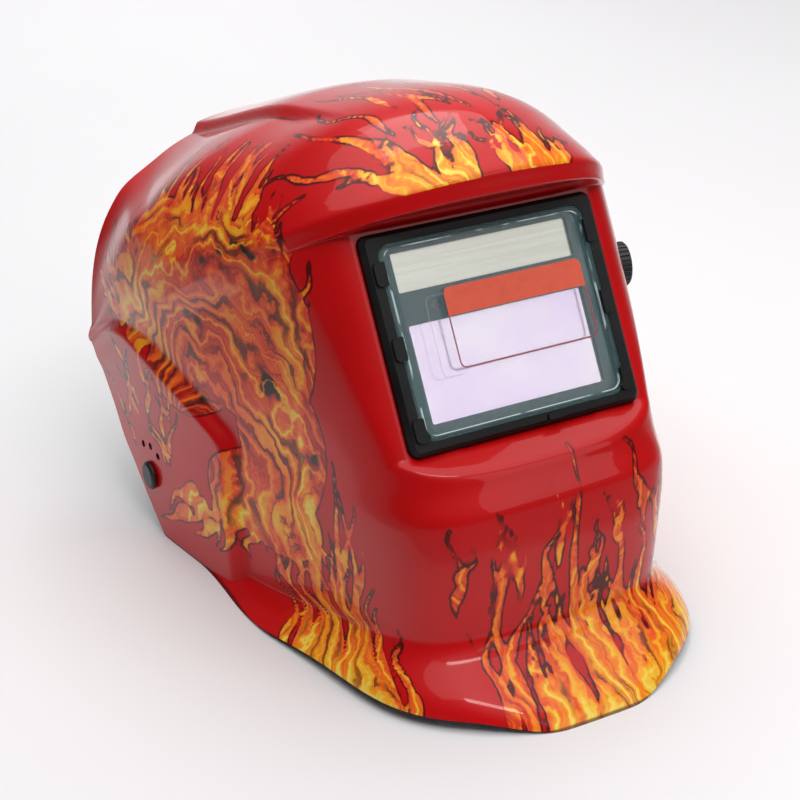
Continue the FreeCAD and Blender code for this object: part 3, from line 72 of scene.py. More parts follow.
# ---- node helpers
class Nodes:
    """Small builder for one material's node tree."""

    def __init__(self, name):
        self.material = bpy.data.materials.new(name)
        self.material.use_nodes = True
        self.tree = self.material.node_tree
        self.tree.nodes.clear()
        self.output = self.tree.nodes.new("ShaderNodeOutputMaterial")

    def add(self, kind, **settings):
        node = self.tree.nodes.new(kind)
        for key, value in settings.items():
            setattr(node, key, value)
        return node

    def put(self, socket, value):
        if isinstance(value, bpy.types.NodeSocket):
            self.tree.links.new(value, socket)
        elif value is not None:
            if socket.type == "RGBA" and len(value) == 3:
                value = (*value, 1)
            socket.default_value = value

    def fill(self, node, *values):
        """Fill a node's inputs in their order and return its first output."""
        for socket, value in zip(node.inputs, values):
            self.put(socket, value)
        return node.outputs[0]

    def feed(self, node, **inputs):
        """Fill a node's inputs by name, with _ for spaces, and return its first output."""
        for key, value in inputs.items():
            self.put(node.inputs[key.replace("_", " ")], value)
        return node.outputs[0]

    def calc(self, operation, first, second=None, third=None, clamp=False):
        node = self.add("ShaderNodeMath", operation=operation, use_clamp=clamp)
        return self.fill(node, first, second, third)

    def times(self, first, second):
        return self.calc("MULTIPLY", first, second)

    def stir(self, value, noise, reach):
        """Value moved by up to reach either way by a noise between 0 and 1."""
        return self.calc("ADD", value, self.calc("MULTIPLY_ADD", noise, 2 * reach, -reach))

    def mix(self, share, first, second):
        node = self.add("ShaderNodeMix", data_type="RGBA")
        self.put(node.inputs[0], share)
        self.put(node.inputs[6], first)
        self.put(node.inputs[7], second)
        return node.outputs[2]

    def span(self, value, low, high, to_low=0.0, to_high=1.0, smooth=True):
        node = self.add("ShaderNodeMapRange", interpolation_type="SMOOTHSTEP" if smooth else "LINEAR")
        return self.fill(node, value, low, high, to_low, to_high)

    def ramp(self, value, stops):
        node = self.add("ShaderNodeValToRGB")
        elements = node.color_ramp.elements
        while len(elements) < len(stops):
            elements.new(0.5)
        for element, (place, colour) in zip(elements, stops):
            element.position = place
            element.color = (*colour, 1)
        self.put(node.inputs[0], value)
        return node.outputs[0]

    def position(self, stretch=(1, 1, 1)):
        """Object place in millimetres, stretched."""
        node = self.add("ShaderNodeMapping")
        self.put(node.inputs[0], self.add("ShaderNodeTexCoord").outputs["Object"])
        node.inputs["Scale"].default_value = [1000 * s for s in stretch]
        return node.outputs[0]

    def split(self, vector):
        """The three parts of a vector."""
        node = self.add("ShaderNodeSeparateXYZ")
        self.put(node.inputs[0], vector)
        return list(node.outputs)

    def window_place(self):
        """Millimetres to the side and up along the window, from its middle."""
        spot = self.add("ShaderNodeVectorMath", operation="SUBTRACT")
        self.put(spot.inputs[0], self.position())
        spot.inputs[1].default_value = WINDOW / MM
        rise = self.add("ShaderNodeVectorMath", operation="DOT_PRODUCT")
        self.put(rise.inputs[0], spot.outputs[0])
        rise.inputs[1].default_value = UPWARD
        return self.split(spot.outputs[0])[0], rise.outputs["Value"]

    def rounded_box(self, aside, up, middle, half, corner):
        """Signed distance in millimetres to a rounded rectangle, negative inside it."""
        past = []
        for value, centre, half_size in zip((aside, up), middle, half):
            from_middle = self.calc("ABSOLUTE", self.calc("SUBTRACT", value, centre))
            past.append(self.calc("SUBTRACT", from_middle, half_size - corner))
        a, b = past
        a_out, b_out = self.calc("MAXIMUM", a, 0.0), self.calc("MAXIMUM", b, 0.0)
        reach = self.calc("SQRT", self.calc("ADD", self.times(a_out, a_out), self.times(b_out, b_out)))
        inner = self.calc("MINIMUM", self.calc("MAXIMUM", a, b), 0.0)
        return self.calc("SUBTRACT", self.calc("ADD", reach, inner), corner)

    def noise(self, vector, scale, detail, rough=0.5):
        node = self.add("ShaderNodeTexNoise")
        return self.feed(node, Vector=vector, Scale=scale, Detail=detail, Roughness=rough)

    def mottle(self, scale, detail, low, high, first, second):
        """Colour that drifts between two in soft clouds."""
        cloud = self.noise(self.position(), scale, detail)
        return self.mix(self.span(cloud, low, high), first, second)

    def cells(self, vector, scale):
        return self.feed(self.add("ShaderNodeTexVoronoi"), Vector=vector, Scale=scale)

    def saw_bands(self, vector, scale):
        """Bands across x that rise steadily and then drop."""
        node = self.add("ShaderNodeTexWave", bands_direction="X", wave_profile="SAW")
        self.feed(node, Vector=vector, Scale=scale)
        return node.outputs[1]

    def attribute(self, name):
        node = self.add("ShaderNodeAttribute", attribute_name=name)
        return self.split(node.outputs["Vector"])

    def join(self, x, y, z):
        return self.fill(self.add("ShaderNodeCombineXYZ"), x, y, z)

    def bump(self, height, strength, distance_mm):
        node = self.add("ShaderNodeBump")
        return self.feed(node, Strength=strength, Distance=distance_mm * MM, Height=height)

    def surface(self, **inputs):
        """Principled surface with these inputs."""
        self.put(self.output.inputs[0], self.feed(self.add("ShaderNodeBsdfPrincipled"), **inputs))


# ---- plain materials
def moulded_plastic(name, colour, rough, grain=0.35, coat=0.0, shine=0.5):
    """Moulded plastic with a fine sparked texture and slightly worn, dusty patches."""
    n = Nodes(name)
    place = n.position()
    cloud = n.noise(place, 0.045, 4)
    fine = n.noise(place, 2.4, 2)
    tint = n.mix(n.span(cloud, 0.35, 0.7), colour, [min(1, c * 1.35 + 0.006) for c in colour])
    grainy = n.calc("ADD", n.times(fine, 0.1), rough - 0.13)
    roughness = n.calc("ADD", n.times(cloud, 0.16), grainy)
    n.surface(Base_Color=tint, Roughness=roughness, Normal=n.bump(fine, grain, 0.12), Coat_Weight=coat,
            Coat_Roughness=0.15, Specular_IOR_Level=shine)
    return n.material


def metal(name, colour, rough, stretch=(1, 1, 1)):
    n = Nodes(name)
    place = n.position(stretch)
    scratch = n.noise(place, 1.6, 5, 0.6)
    tint = n.mottle(0.08, 3, 0.4, 0.75, colour, [c * 0.8 for c in colour])
    n.surface(Base_Color=tint, Metallic=1.0, Roughness=n.span(scratch, 0.2, 0.8, rough * 0.7, rough * 1.4),
            Normal=n.bump(scratch, 0.25, 0.05))
    return n.material


def rubbery(name, colour, rough, grain, scale=1.5):
    n = Nodes(name)
    fine = n.noise(n.position(), scale, 3)
    tint = n.mottle(0.06, 3, 0.35, 0.7, colour, [c * 1.5 + 0.004 for c in colour])
    n.surface(Base_Color=tint, Roughness=n.span(fine, 0.3, 0.7, rough - 0.08, rough + 0.1),
            Normal=n.bump(fine, grain, 0.15), Specular_IOR_Level=0.4)
    return n.material


# ---- shell shape
# Each row is one U-shaped rib of half the shell, from the rim to the back of the crown, in
# millimetres: its place between 0 and 1, its middle and its edge as (behind, above) the window
# centre, four control points as (half width, depth), the half width at the edge and the bow.
ROWS = [
    (0.00, (-54.0, -160.5), (150, -160.5), ((40, 0), (70, 6), (74, 62), (94, 128)), 105, 0),
    (0.12, (-55.0, -128), (163, -147), ((42, 0), (72, 6), (76, 66), (97, 140)), 107, 0),
    (0.24, (-55.5, -92), (180, -130), ((43, 0), (75, 7), (79, 70), (101, 148)), 109, 0),
    (0.33, (-53.0, -68), (196, -117), ((44, 0), (77, 7), (81, 74), (102, 150)), 110, 0),
    (0.38, (-45.0, -53), (205, -108), ((44, 0), (77, 8), (82, 76), (103, 150)), 110, 0),
    (0.50, (-24.0, 5), (222, -94), ((44, 0), (77, 10), (88, 80), (107, 160)), 110, 0),
    (0.58, (-3.0, 50), (230, -87), ((43, 0), (82, 20), (97, 96), (108, 180)), 111, 0),
    (0.62, (2.5, 63), (233, -84), ((42, 0), (86, 28), (108, 130), (110, 210)), 111, 0),
    (0.65, (3.6, 70.5), (234, -83), ((40, 0), (90, 32), (112, 150), (110, 220)), 111, 0),
    (0.68, (10.0, 75.5), (236, -82), ((39, 0), (92, 38), (113, 156), (110, 220)), 111, 0),
    (0.75, (28.0, 84), (237, -80), ((37, 0), (94, 48), (116, 156), (110, 226)), 112, 0),
    (0.83, (60.0, 90.5), (239, -77), ((35, 0), (88, 46), (116, 142), (111, 210)), 112, 0),
    (0.92, (130.0, 77), (240, -76), ((28, 0), (84, 22), (117, 96), (110, 155)), 112, -4),
    (1.00, (250.0, 33.5), (240, -75), ((26, 1), (62, 7), (110, 46), (113, 86)), 112, -10),
]
# (behind, above) the window centre, along the top of the lip and of the rear side panel
LIP_LINE = np.array([(-400, -126), (-40, -126), (-2, -140), (27, -147), (59, -151), (80, -152),
        (300, -152)], float)
PANEL_LINE = np.array([(60, -80), (78, -76), (102, -67), (141, -56), (186, -51), (247, -75)], float)
RIM_ROW_MM = 160.5  # the lowest row, below the window centre
RIM_DROP_MM = 160.0  # the rim is trimmed level here
RIM_STEP_MM = 6.5  # how far the rear rim and side panel stand out
LIP_REACH_MM = 41.0  # how far the lip stands out in front
LIP_SIDE_MM = 20.0  # and at the cheeks
RIM_ARCH_MM = 6.5  # rise of the rim beside the chin
FACE_HALF_MM = 62.0  # half width of the flat part round the window
LEDGE_DOWN_MM = 50.4  # the ledge under the window
BROW_UP_MM = 52.5  # the foot of the brow over the window
PANEL_HALF_MM = 40.0  # half width of the raised crown panel
PANEL_STEP_MM = 5.0  # its height
PANEL_SLOPE_MM = 4.0  # width of its sloping edge


def smooth_step(low, high, value):
    k = np.clip((value - low) / (high - low), 0, 1)
    return k * k * (3 - 2 * k)


def soft_min(a, b, blend):
    k = np.clip(0.5 + 0.5 * (b - a) / blend, 0, 1)
    return b * (1 - k) + a * k - blend * k * (1 - k)


def eased(knots, values, places):
    """Smooth curves through the knots that never overshoot them.  values is (knots, columns)."""
    values = np.atleast_2d(np.asarray(values, float).T).T
    gaps = np.diff(knots)
    rises = np.diff(values, axis=0) / gaps[:, None]
    slopes = np.zeros_like(values)
    slopes[0], slopes[-1] = rises[0], rises[-1]
    for i in range(1, len(knots) - 1):
        first, second = 2 * gaps[i] + gaps[i - 1], gaps[i] + 2 * gaps[i - 1]
        same = rises[i - 1] * rises[i] > 0
        low = np.where(same, rises[i - 1], 1)
        high = np.where(same, rises[i], 1)
        slopes[i] = np.where(same, (first + second) / (first / low + second / high), 0)
    places = np.clip(places, knots[0], knots[-1])
    span = np.clip(np.searchsorted(knots, places, side="right") - 1, 0, len(gaps) - 1)
    k = ((places - knots[span]) / gaps[span])[..., None]
    gap = gaps[span][..., None]
    return ((1 + 2 * k) * (1 - k) ** 2 * values[span] + k * (1 - k) ** 2 * gap * slopes[span]
            + k * k * (3 - 2 * k) * values[span + 1] - k * k * (1 - k) * gap * slopes[span + 1])


ROW_PLACES = np.array([row[0] for row in ROWS])
ROW_VALUES = np.array([[*row[1], *row[2], *np.ravel(row[3]), row[4], row[5]] for row in ROWS])


def rib_basis(count):
    """Clamped cubic basis for six poles at evenly spaced parameters."""
    knots = [0, 0, 0, 0, 1 / 3, 2 / 3, 1, 1, 1, 1]
    u = np.linspace(0, 1, count)
    basis = [np.where((knots[i] <= u) & (u < knots[i + 1]), 1.0, 0.0) for i in range(9)]
    basis[5] = np.where(u >= 1, 1.0, basis[5])
    basis[6] = np.where(u >= 1, 1.0, basis[6])
    for degree in (1, 2, 3):
        raised = []
        for i in range(9 - degree):
            left = knots[i + degree] - knots[i]
            right = knots[i + degree + 1] - knots[i + 1]
            term = np.zeros_like(u)
            if left > 0:
                term = term + (u - knots[i]) / left * basis[i]
            if right > 0:
                term = term + (knots[i + degree + 1] - u) / right * basis[i + 1]
            raised.append(term)
        basis = raised
    basis = np.array(basis[:6])
    basis[:, -1] = [0, 0, 0, 0, 0, 1]
    return basis.T


RIB_BASIS = rib_basis(361)


def half_ribs(places, columns):
    """Half of every rib as (row, column, xyz) in millimetres, evenly spaced along each rib."""
    values = eased(ROW_PLACES, ROW_VALUES, places)
    points = np.zeros((len(places), columns, 3))
    share = np.linspace(0, 1, columns)
    for i, v in enumerate(values):
        rise = np.array([v[2] - v[0], v[3] - v[1]])
        run = math.hypot(*rise)
        poles = np.array([[0, 0], v[4:6], v[6:8], v[8:10], v[10:12], [v[12], run]])
        flat = RIB_BASIS @ poles
        length = np.r_[0, np.cumsum(np.hypot(*np.diff(flat, axis=0).T))]
        x = np.interp(share * length[-1], length, flat[:, 0])
        q = np.interp(share * length[-1], length, flat[:, 1]) / run
        bow = v[13] * 4 * q * (1 - q)
        points[i, :, 0] = x
        points[i, :, 1] = v[0] + rise[0] * q - rise[1] / run * bow
        points[i, :, 2] = v[1] + rise[1] * q + rise[0] / run * bow
    return points


def grid_normals(points):
    along = np.gradient(points, axis=0)
    aside = np.gradient(points, axis=1)
    normals = np.cross(aside, along)
    return normals / (np.linalg.norm(normals, axis=2, keepdims=True) + 1e-9)


def dress(points, normals, inset):
    """Add the lip, the rear side panel, the window recess, the brow and the crown panel."""
    flat = normals * (1, 1, 0)
    flat /= np.linalg.norm(flat, axis=2, keepdims=True) + 1e-9
    x, y, z = np.abs(points[..., 0]), points[..., 1], points[..., 2]
    lip_top = eased(LIP_LINE[:, 0], LIP_LINE[:, 1], y)[..., 0]
    below = np.clip((lip_top - z) / (lip_top + RIM_ROW_MM), 0, 1.05)
    lip = smooth_step(0, 1.12, below) / smooth_step(0, 1.12, 1.0)
    front = np.where(y < 0, 1 - smooth_step(15, 72, x), 0)
    step = RIM_STEP_MM - 3.5 * smooth_step(140, 240, y)
    reach = LIP_SIDE_MM + (LIP_REACH_MM - LIP_SIDE_MM) * front
    behind = smooth_step(40, 120, y)
    reach = reach * (1 - behind) + step * behind
    panel_top = eased(PANEL_LINE[:, 0], PANEL_LINE[:, 1], y)[..., 0]
    inside_panel = soft_min(panel_top - z, (y - 80) * 0.9, 8)
    panel = smooth_step(0, 8, inside_panel) * smooth_step(60, 84, y)
    points = points + flat * np.maximum(reach * lip, step * panel)[..., None]
    beside_chin = smooth_step(15, 60, np.abs(points[..., 0]))
    arch = RIM_ARCH_MM * beside_chin * (1 - smooth_step(-20, 90, points[..., 1]))
    points[..., 2] += arch * smooth_step(120, 160, -points[..., 2])
    out, up = points @ OUT_MM, points @ UP_MM
    side_fall = -0.04 * np.clip(np.abs(points[..., 0]) - FACE_HALF_MM, 0, None) ** 2
    ledge = np.clip(-LEDGE_DOWN_MM - up, 0, None) * 0.9
    brow = np.clip((up - inset - BROW_UP_MM) / 2.0, 0, None) ** 2 * 22
    points = points + OUT_MM * (soft_min(out, side_fall + ledge + brow - inset, 3.0) - out)[..., None]
    x, y, z = np.abs(points[..., 0]), points[..., 1], points[..., 2]
    beside_panel = smooth_step(PANEL_HALF_MM, PANEL_HALF_MM + PANEL_SLOPE_MM, x)
    points[..., 2] = z - PANEL_STEP_MM * beside_panel * smooth_step(60, 130, y) * smooth_step(0, 20, z)
    return points


def shell_points(places, columns, wall):
    """Full grid in millimetres from the window centre, moved inwards by wall."""
    half = half_ribs(places, columns + 1)
    full = np.concatenate([half[:, :0:-1] * (-1, 1, 1), half], axis=1)
    normals = grid_normals(full)
    dressed = dress(full - normals * wall, normals, wall)
    if wall == 0:
        return dressed
    outer = shell_points(places, columns, 0)
    low = 1 - smooth_step(-110, -80, outer[..., 2])[..., None]
    return dressed * (1 - low) + (outer - grid_normals(outer) * wall) * low


def even_places(count):
    """Row places that make the rows evenly spaced on the finished surface, closer at the brow."""
    fine = np.linspace(0, 1, 900)
    strip = shell_points(fine, 24, 0)
    gaps = np.linalg.norm(np.diff(strip[:, [24, 32, 40]], axis=0), axis=2).mean(axis=1)
    gaps = gaps + 0.35 * (np.abs(fine[1:] - 0.62) < 0.045)
    length = np.r_[0, np.cumsum(gaps)]
    return np.interp(np.linspace(0, length[-1], count), length, fine)


OPENING_HALF_MM = (61.3, 50.8)
OPENING_CORNER_MM = 5.0


def window_distance(a, b):
    """Signed distance to the rounded opening that the lens frame sits in."""
    a, b = [np.abs(v) - half + OPENING_CORNER_MM for v, half in zip((a, b), OPENING_HALF_MM)]
    past = np.hypot(np.clip(a, 0, None), np.clip(b, 0, None))
    return past + np.minimum(np.maximum(a, b), 0) - OPENING_CORNER_MM


PIVOT_HOLE_MM = 4.05  # radii of the holes
STOP_HOLE_MM = 2.05
SHADE_HOLE_MM = 3.95
STOP_RING_MM = 17  # the stop holes stand on a ring round the pivot


def holes():
    """Round holes through the shell: centre in mm from the window, axis, radius in mm, side."""
    pivot = np.array((PIVOT - WINDOW) / MM)
    found = []
    for side in (-1, 1):
        centre = pivot * (side, 1, 1)
        axis = np.array((1.0, 0, 0))
        found.append((centre, axis, PIVOT_HOLE_MM, side))
        for angle in (60, 90, 120):
            turn = math.radians(angle)
            on_ring = (0, STOP_RING_MM * math.cos(turn), STOP_RING_MM * math.sin(turn))
            found.append((centre + on_ring, axis, STOP_HOLE_MM, side))
    found.append((np.array((SHADE - WINDOW) / MM), np.array(SHADE_AXIS), SHADE_HOLE_MM, 1))
    return found


def hole_cuts(points):
    """For each cut, whether a point is inside it, and a round hole's facts or None for the window."""
    up = points @ UP_MM
    front = (points @ OUT_MM > -14) & (np.abs(up) < 70)
    cuts = [(front & (window_distance(points[..., 0], up) < 0), None)]
    for centre, axis, radius, side in holes():
        offset = points - centre
        offset = offset - (offset @ axis)[..., None] * axis
        inside = np.linalg.norm(offset, axis=-1) - radius < 0
        cuts.append((inside & (points[..., 0] * side > 40), (centre, axis, radius)))
    return cuts


def build_skin(rows, columns, wall):
    """One skin of the shell as a mesh, with the window and the round holes cut out cleanly."""
    places = even_places(rows)
    points = shell_points(places, columns, wall)
    count, width = points.shape[:2]
    index = np.arange(count * width).reshape(count, width)
    corners = [index[:-1, :-1], index[:-1, 1:], index[1:, 1:], index[1:, :-1]]
    quads = np.stack(corners, axis=-1).reshape(-1, 4)
    flat = points.reshape(-1, 3).copy()
    cuts = hole_cuts(flat[quads].mean(axis=1))
    kept = quads[~np.any([inside for inside, facts in cuts], axis=0)]
    rims = []
    for inside, facts in cuts:
        edge = np.intersect1d(np.unique(quads[inside]), np.unique(kept))
        rims.append(edge)
        p = flat[edge]
        if facts is None:
            for _ in range(4):
                a, b = p[:, 0], p @ UP_MM
                d = window_distance(a, b)
                da = window_distance(a + 0.01, b) - d
                db = window_distance(a, b + 0.01) - d
                p = p - (d * da / 0.01)[:, None] * (1, 0, 0) - (d * db / 0.01)[:, None] * UP_MM
        else:
            centre, axis, radius = facts
            offset = p - centre
            depth = (offset @ axis)[:, None] * axis
            around = offset - depth
            p = centre + depth + around / np.linalg.norm(around, axis=1, keepdims=True) * radius
        flat[edge] = p
    flat[:, 2] = np.maximum(flat[:, 2], -RIM_DROP_MM)
    return points, flat, kept, rims, places


def mesh_object(name, vertices, faces, materials):
    mesh = bpy.data.meshes.new(name)
    mesh.from_pydata(np.asarray(vertices).tolist(), [], np.asarray(faces).tolist())
    mesh.validate()
    mesh.shade_smooth()
    for material in materials:
        mesh.materials.append(material)
    return new_object(name, mesh)


# ---- painted flames
class FlamePaint:
    """Fields over the shell's points that say where the sprayed flames are.

    edge is the distance in mm to a flame's outline, positive inside it; core is 1 on a tongue's
    middle line; heat is 1 where the paint is brightest.
    """

    def __init__(self, count):
        self.edge = np.full(count, -9.0)
        self.core = np.zeros(count)
        self.heat = np.zeros(count)

    def tongue(self, chart, root, heading, length, width, sway, waves, phase, curl, heat,
            where=None, floating=False):
        """One tapered, swaying tongue in a chart of the surface; a floating one's root is pointed too."""
        share = np.linspace(0, 1, 16)
        turn = math.radians(heading)
        ahead = np.array([math.cos(turn), math.sin(turn)])
        aside = np.array([-ahead[1], ahead[0]])
        bend = sway * np.sin(2 * math.pi * waves * share + phase) * share ** 0.7 + curl * share ** 2
        bend = bend - bend[0]
        line = np.array(root) + np.outer(share * length, ahead) + np.outer(bend, aside)
        belly = 0.6 + 0.4 * np.sin(math.pi * np.minimum(share * 1.8 + 0.2, 1))
        widths = width * (1 - share) ** 0.8 * belly
        if floating:
            widths = widths * np.minimum(1, 0.12 + 3 * share)
        low, high = line.min(axis=0) - width - 5, line.max(axis=0) + width + 5
        near = np.all((chart > low) & (chart < high), axis=1)
        if where is not None:
            near &= where
        near = np.flatnonzero(near)
        if len(near) == 0:
            return
        p = chart[near]
        best = np.full(len(near), -99.0)
        best_share = np.zeros(len(near))
        best_width = np.ones(len(near))
        for k in range(len(share) - 1):
            run = line[k + 1] - line[k]
            along = np.clip(((p - line[k]) @ run) / (run @ run), 0, 1)
            distance = np.linalg.norm(p - line[k] - along[:, None] * run, axis=1)
            size_here = widths[k] + (widths[k + 1] - widths[k]) * along
            inside = size_here - distance
            better = inside > best
            best = np.where(better, inside, best)
            best_share = np.where(better, share[k] + along / (len(share) - 1), best_share)
            best_width = np.where(better, size_here, best_width)
        middle = np.clip(best / np.maximum(best_width, 0.6), 0, 1)
        glow = heat * (1 - best_share) ** 0.7
        self.edge[near] = np.maximum(self.edge[near], best)
        self.core[near] = np.maximum(self.core[near], middle)
        self.heat[near] = np.maximum(self.heat[near], np.where(best > -1.5, glow, 0))

    def blob(self, chart, centre, half_a, half_b, heat, where):
        """Soft oval mass of fire."""
        reach = np.hypot((chart[:, 0] - centre[0]) / half_a, (chart[:, 1] - centre[1]) / half_b)
        inside = np.where(where, (1 - reach) * min(half_a, half_b), -9)
        self.edge = np.maximum(self.edge, inside)
        self.core = np.maximum(self.core, np.clip(inside / min(half_a, half_b), 0, 1) * 0.6)
        self.heat = np.maximum(self.heat, np.where(inside > -1.5, heat * np.clip(1.15 - reach, 0, 1), 0))


def lick(paint, chart, root, heading, length, width, draw, heat, lean, where=None, floating=False):
    """A swaying tongue of fire with two smaller ones that break away from it; draw(low, high) is random."""
    sway = draw(2.5, 5)
    paint.tongue(chart, root, heading, length, width, sway, draw(1.1, 1.8), draw(0, 6.28), lean,
            heat, where, floating)
    turn = math.radians(heading)
    for side in (-1, 1):
        share = draw(0.15, 0.5)
        start = (root[0] + length * share * math.cos(turn), root[1] + length * share * math.sin(turn))
        paint.tongue(chart, start, heading + side * draw(14, 30), length * draw(0.3, 0.45),
                width * 0.6, sway * 0.5, 1.0, draw(0, 6.28), -side * draw(3, 7), heat * 0.7,
                where)


def paint_chin(paint, chart, draw):
    """Tall thin tongues up the chin from a bright mass on the front lip."""
    for centre, tall in ((8, 122), (20, 74), (30, 62), (41, 92), (52, 66), (62, 98), (73, 68), (-4, 62),
            (-14, 44), (15, 48), (84, 62), (96, 84), (106, 52)):
        lick(paint, chart, (centre, 4), 90 + draw(-6, 6), tall + 12, draw(5.0, 6.5), draw, 0.62,
             draw(-8, 8))
    for centre in range(-14, 96, 6):
        paint.tongue(chart, (centre + draw(-3, 3), -6), 90 + draw(-14, 14), draw(28, 44),
                draw(6, 8), 2.5, 1.1, draw(0, 6.28), 0, 1.3)
    for centre, bottom, tall in ((-34, 8, 104), (-25, 2, 64), (-52, 60, 38), (-20, 74, 36), (-8, 66, 40),
            (-43, 6, 56), (0, 88, 34), (50, 84, 42), (70, 90, 38), (35, 80, 30),
            (-30, 60, 52), (20, 72, 26), (60, 72, 24), (82, 78, 34)):
        lick(paint, chart, (centre, bottom - 8), 90 + draw(-8, 8), tall + 8, draw(3.0, 4.2), draw,
             0.34, draw(-6, 6), None, bottom > 20)


def paint_corner(paint, chart, side, draw):
    """Bright tongues that climb from the lip at the front corner."""
    for centre, tall, wide in ((98, 50, 5.5), (108, 96, 6), (118, 58, 6), (127, 112, 6), (137, 66, 6),
            (146, 92, 5.5), (156, 54, 5.5), (166, 66, 4.5), (88, 34, 3.5), (178, 36, 4)):
        lick(paint, chart, (side * centre, 0), 90 + side * draw(-4, 10), tall, wide, draw, 0.8,
             side * draw(-8, 4))
    for centre in range(100, 172, 6):
        paint.tongue(chart, (side * centre, -5), 90 + draw(-8, 14) * side, draw(22, 40), 6, 2, 1,
                draw(0, 6.28), 0, 1.1)


def paint_side(paint, chart, where, draw):
    """Rolling fire over the cheek and temple, with loose tongues behind it.  The chart is (y, z)."""
    for centre, half_a, half_b, heat in (((-22, 148), 54, 50, 0.4), ((26, 128), 44, 42, 0.24),
            ((-50, 98), 34, 40, 0.56), ((-40, 60), 40, 26, 0.46),
            ((44, 160), 34, 28, 0.3), ((74, 128), 26, 24, 0.26)):
        paint.blob(chart, centre, half_a, half_b, heat, where)
    for k in range(19):
        share = k / 18
        turn = math.radians(200 - 205 * share)
        root = (-6 + 50 * math.cos(turn), 142 + 44 * math.sin(turn))
        lick(paint, chart, root, 104 - 72 * share + draw(-10, 10), draw(34, 58),
             draw(5, 8), draw, 0.62, draw(-8, 8), where)
    for k in range(12):
        root = (16 + 7 * k, 112 + 7 * math.sin(k * 1.3))
        lick(paint, chart, root, 72 - 4 * k + draw(-10, 10), draw(34, 60) - 2 * k,
             draw(5, 7), draw, 0.55, draw(-4, 10), where)
    for k in range(9):
        root = (-72 + 1.5 * k, 44 + 12 * k)
        paint.tongue(chart, root, 98 + draw(-8, 8), draw(26, 44), draw(3.5, 5.5),
                draw(2, 3.5), 1.1, draw(0, 6.28), draw(-6, 2), 0.8, where)
    for k in range(12):
        root = (-70 + 8.5 * k, 62 - 2.5 * k + 8 * math.sin(k * 2.1))
        paint.tongue(chart, root, -125 + 10 * k + draw(-15, 15), draw(22, 36), draw(5, 7),
                draw(2, 4), 1.1, draw(0, 6.28), draw(-5, 5), 0.7, where)
    for k in range(10):
        root = (50 + 5.5 * k, 150 - 5 * k + draw(-8, 8))
        lick(paint, chart, root, 50 - 3 * k + draw(-12, 12), draw(30, 52), draw(4, 6),
             draw, 0.5, draw(-6, 8), where)
    for k in range(16):
        root = (36 + draw(0, 54), 40 + draw(0, 46))
        paint.tongue(chart, root, draw(20, 95), draw(24, 44), draw(2.2, 4.2),
                draw(2, 5), 1.2, draw(0, 6.28), draw(-9, 9), 0.6, where, True)


def paint_crown(paint, chart, where, draw):
    """Tongues that start on the brow's edge and stream back over the crown.  The chart is (x, y)."""
    for middle_x, lean in ((-27, 14), (24, 4)):
        for k in range(7):
            aside = (k - 3) / 3
            x = middle_x + 15 * aside
            front = -99 + 0.0045 * x * x + 4 * abs(aside)
            lick(paint, chart, (x, front), 90 + lean - 22 * aside + draw(-8, 8),
                 draw(30, 56) - 12 * abs(aside), draw(2.8, 3.8), draw, 1.0, draw(-8, 8), where)
        for k in range(6):
            aside = (k - 2.5) / 2.5
            x = middle_x + 24 * aside
            paint.tongue(chart, (x, -72 + draw(0, 40)), 92 + lean - 12 * aside + draw(-10, 10),
                    draw(44, 86), draw(2.4, 3.4), draw(3, 6), 1.3,
                    draw(0, 6.28), draw(-9, 9), 0.34, where, True)


BROW_PLACE = 0.648  # the row that runs along the edge of the brow
SWIRL = (26.0, 78.0)  # (y, z) in mm of the point that the cheek's filaments turn about


def flame_fields(points, places):
    """Paint fields and the flow chart (across the filaments, along them) for every outer point."""
    row_gap = np.linalg.norm(np.diff(points, axis=1), axis=2)
    middle = points.shape[1] // 2
    along_row = np.concatenate([np.zeros((len(points), 1)), np.cumsum(row_gap, axis=1)], axis=1)
    along_row = along_row - along_row[:, middle:middle + 1]
    column_gap = np.linalg.norm(np.diff(points, axis=0), axis=2)
    height = np.concatenate([np.zeros((1, points.shape[1])), np.cumsum(column_gap, axis=0)], axis=0)
    flat = points.reshape(-1, 3) + WINDOW_MM
    low_chart = np.stack([along_row.reshape(-1), height.reshape(-1)], axis=1)
    paint = FlamePaint(len(flat))
    chin = np.where((flat[:, 2] < 150)[:, None], low_chart, 9999.0)
    paint_chin(paint, chin, random.Random(7).uniform)
    for side in (-1, 1):
        paint_corner(paint, chin, side, random.Random(21).uniform)
    flow = low_chart.copy()
    for side in (-1, 1):
        on_side = (flat[:, 0] * side > 62) & (flat[:, 1] > -104)
        before = paint.edge.copy()
        paint_side(paint, flat[:, 1:3], on_side, random.Random(5).uniform)
        newer = on_side & ((paint.edge > before) | (flat[:, 2] > 90))
        behind, above = flat[:, 1] - SWIRL[0], flat[:, 2] - SWIRL[1]
        # filaments wind out of the swirl; the turn is counted from below and behind, where no fire is
        turn = (np.arctan2(above, behind) + math.radians(50)) % (2 * math.pi)
        swirl = np.stack([np.hypot(behind, above) * 0.8 - 24 * turn, 75 * turn], axis=1)
        flow = np.where(newer[:, None], swirl, flow)
    above_brow = np.repeat(places > BROW_PLACE, points.shape[1])
    top = above_brow & (flat[:, 2] > 190) & (np.abs(flat[:, 0]) < 92)
    paint_crown(paint, flat[:, 0:2], top, random.Random(3).uniform)
    flow = np.where(top[:, None], flat[:, 0:2], flow)
    return paint, flow


def store(mesh, name, values):
    """Keep three numbers for every point of a mesh."""
    attribute = mesh.attributes.new(name, "FLOAT_VECTOR", "POINT")
    attribute.data.foreach_set("vector", np.ascontiguousarray(values, dtype=np.float32).reshape(-1))


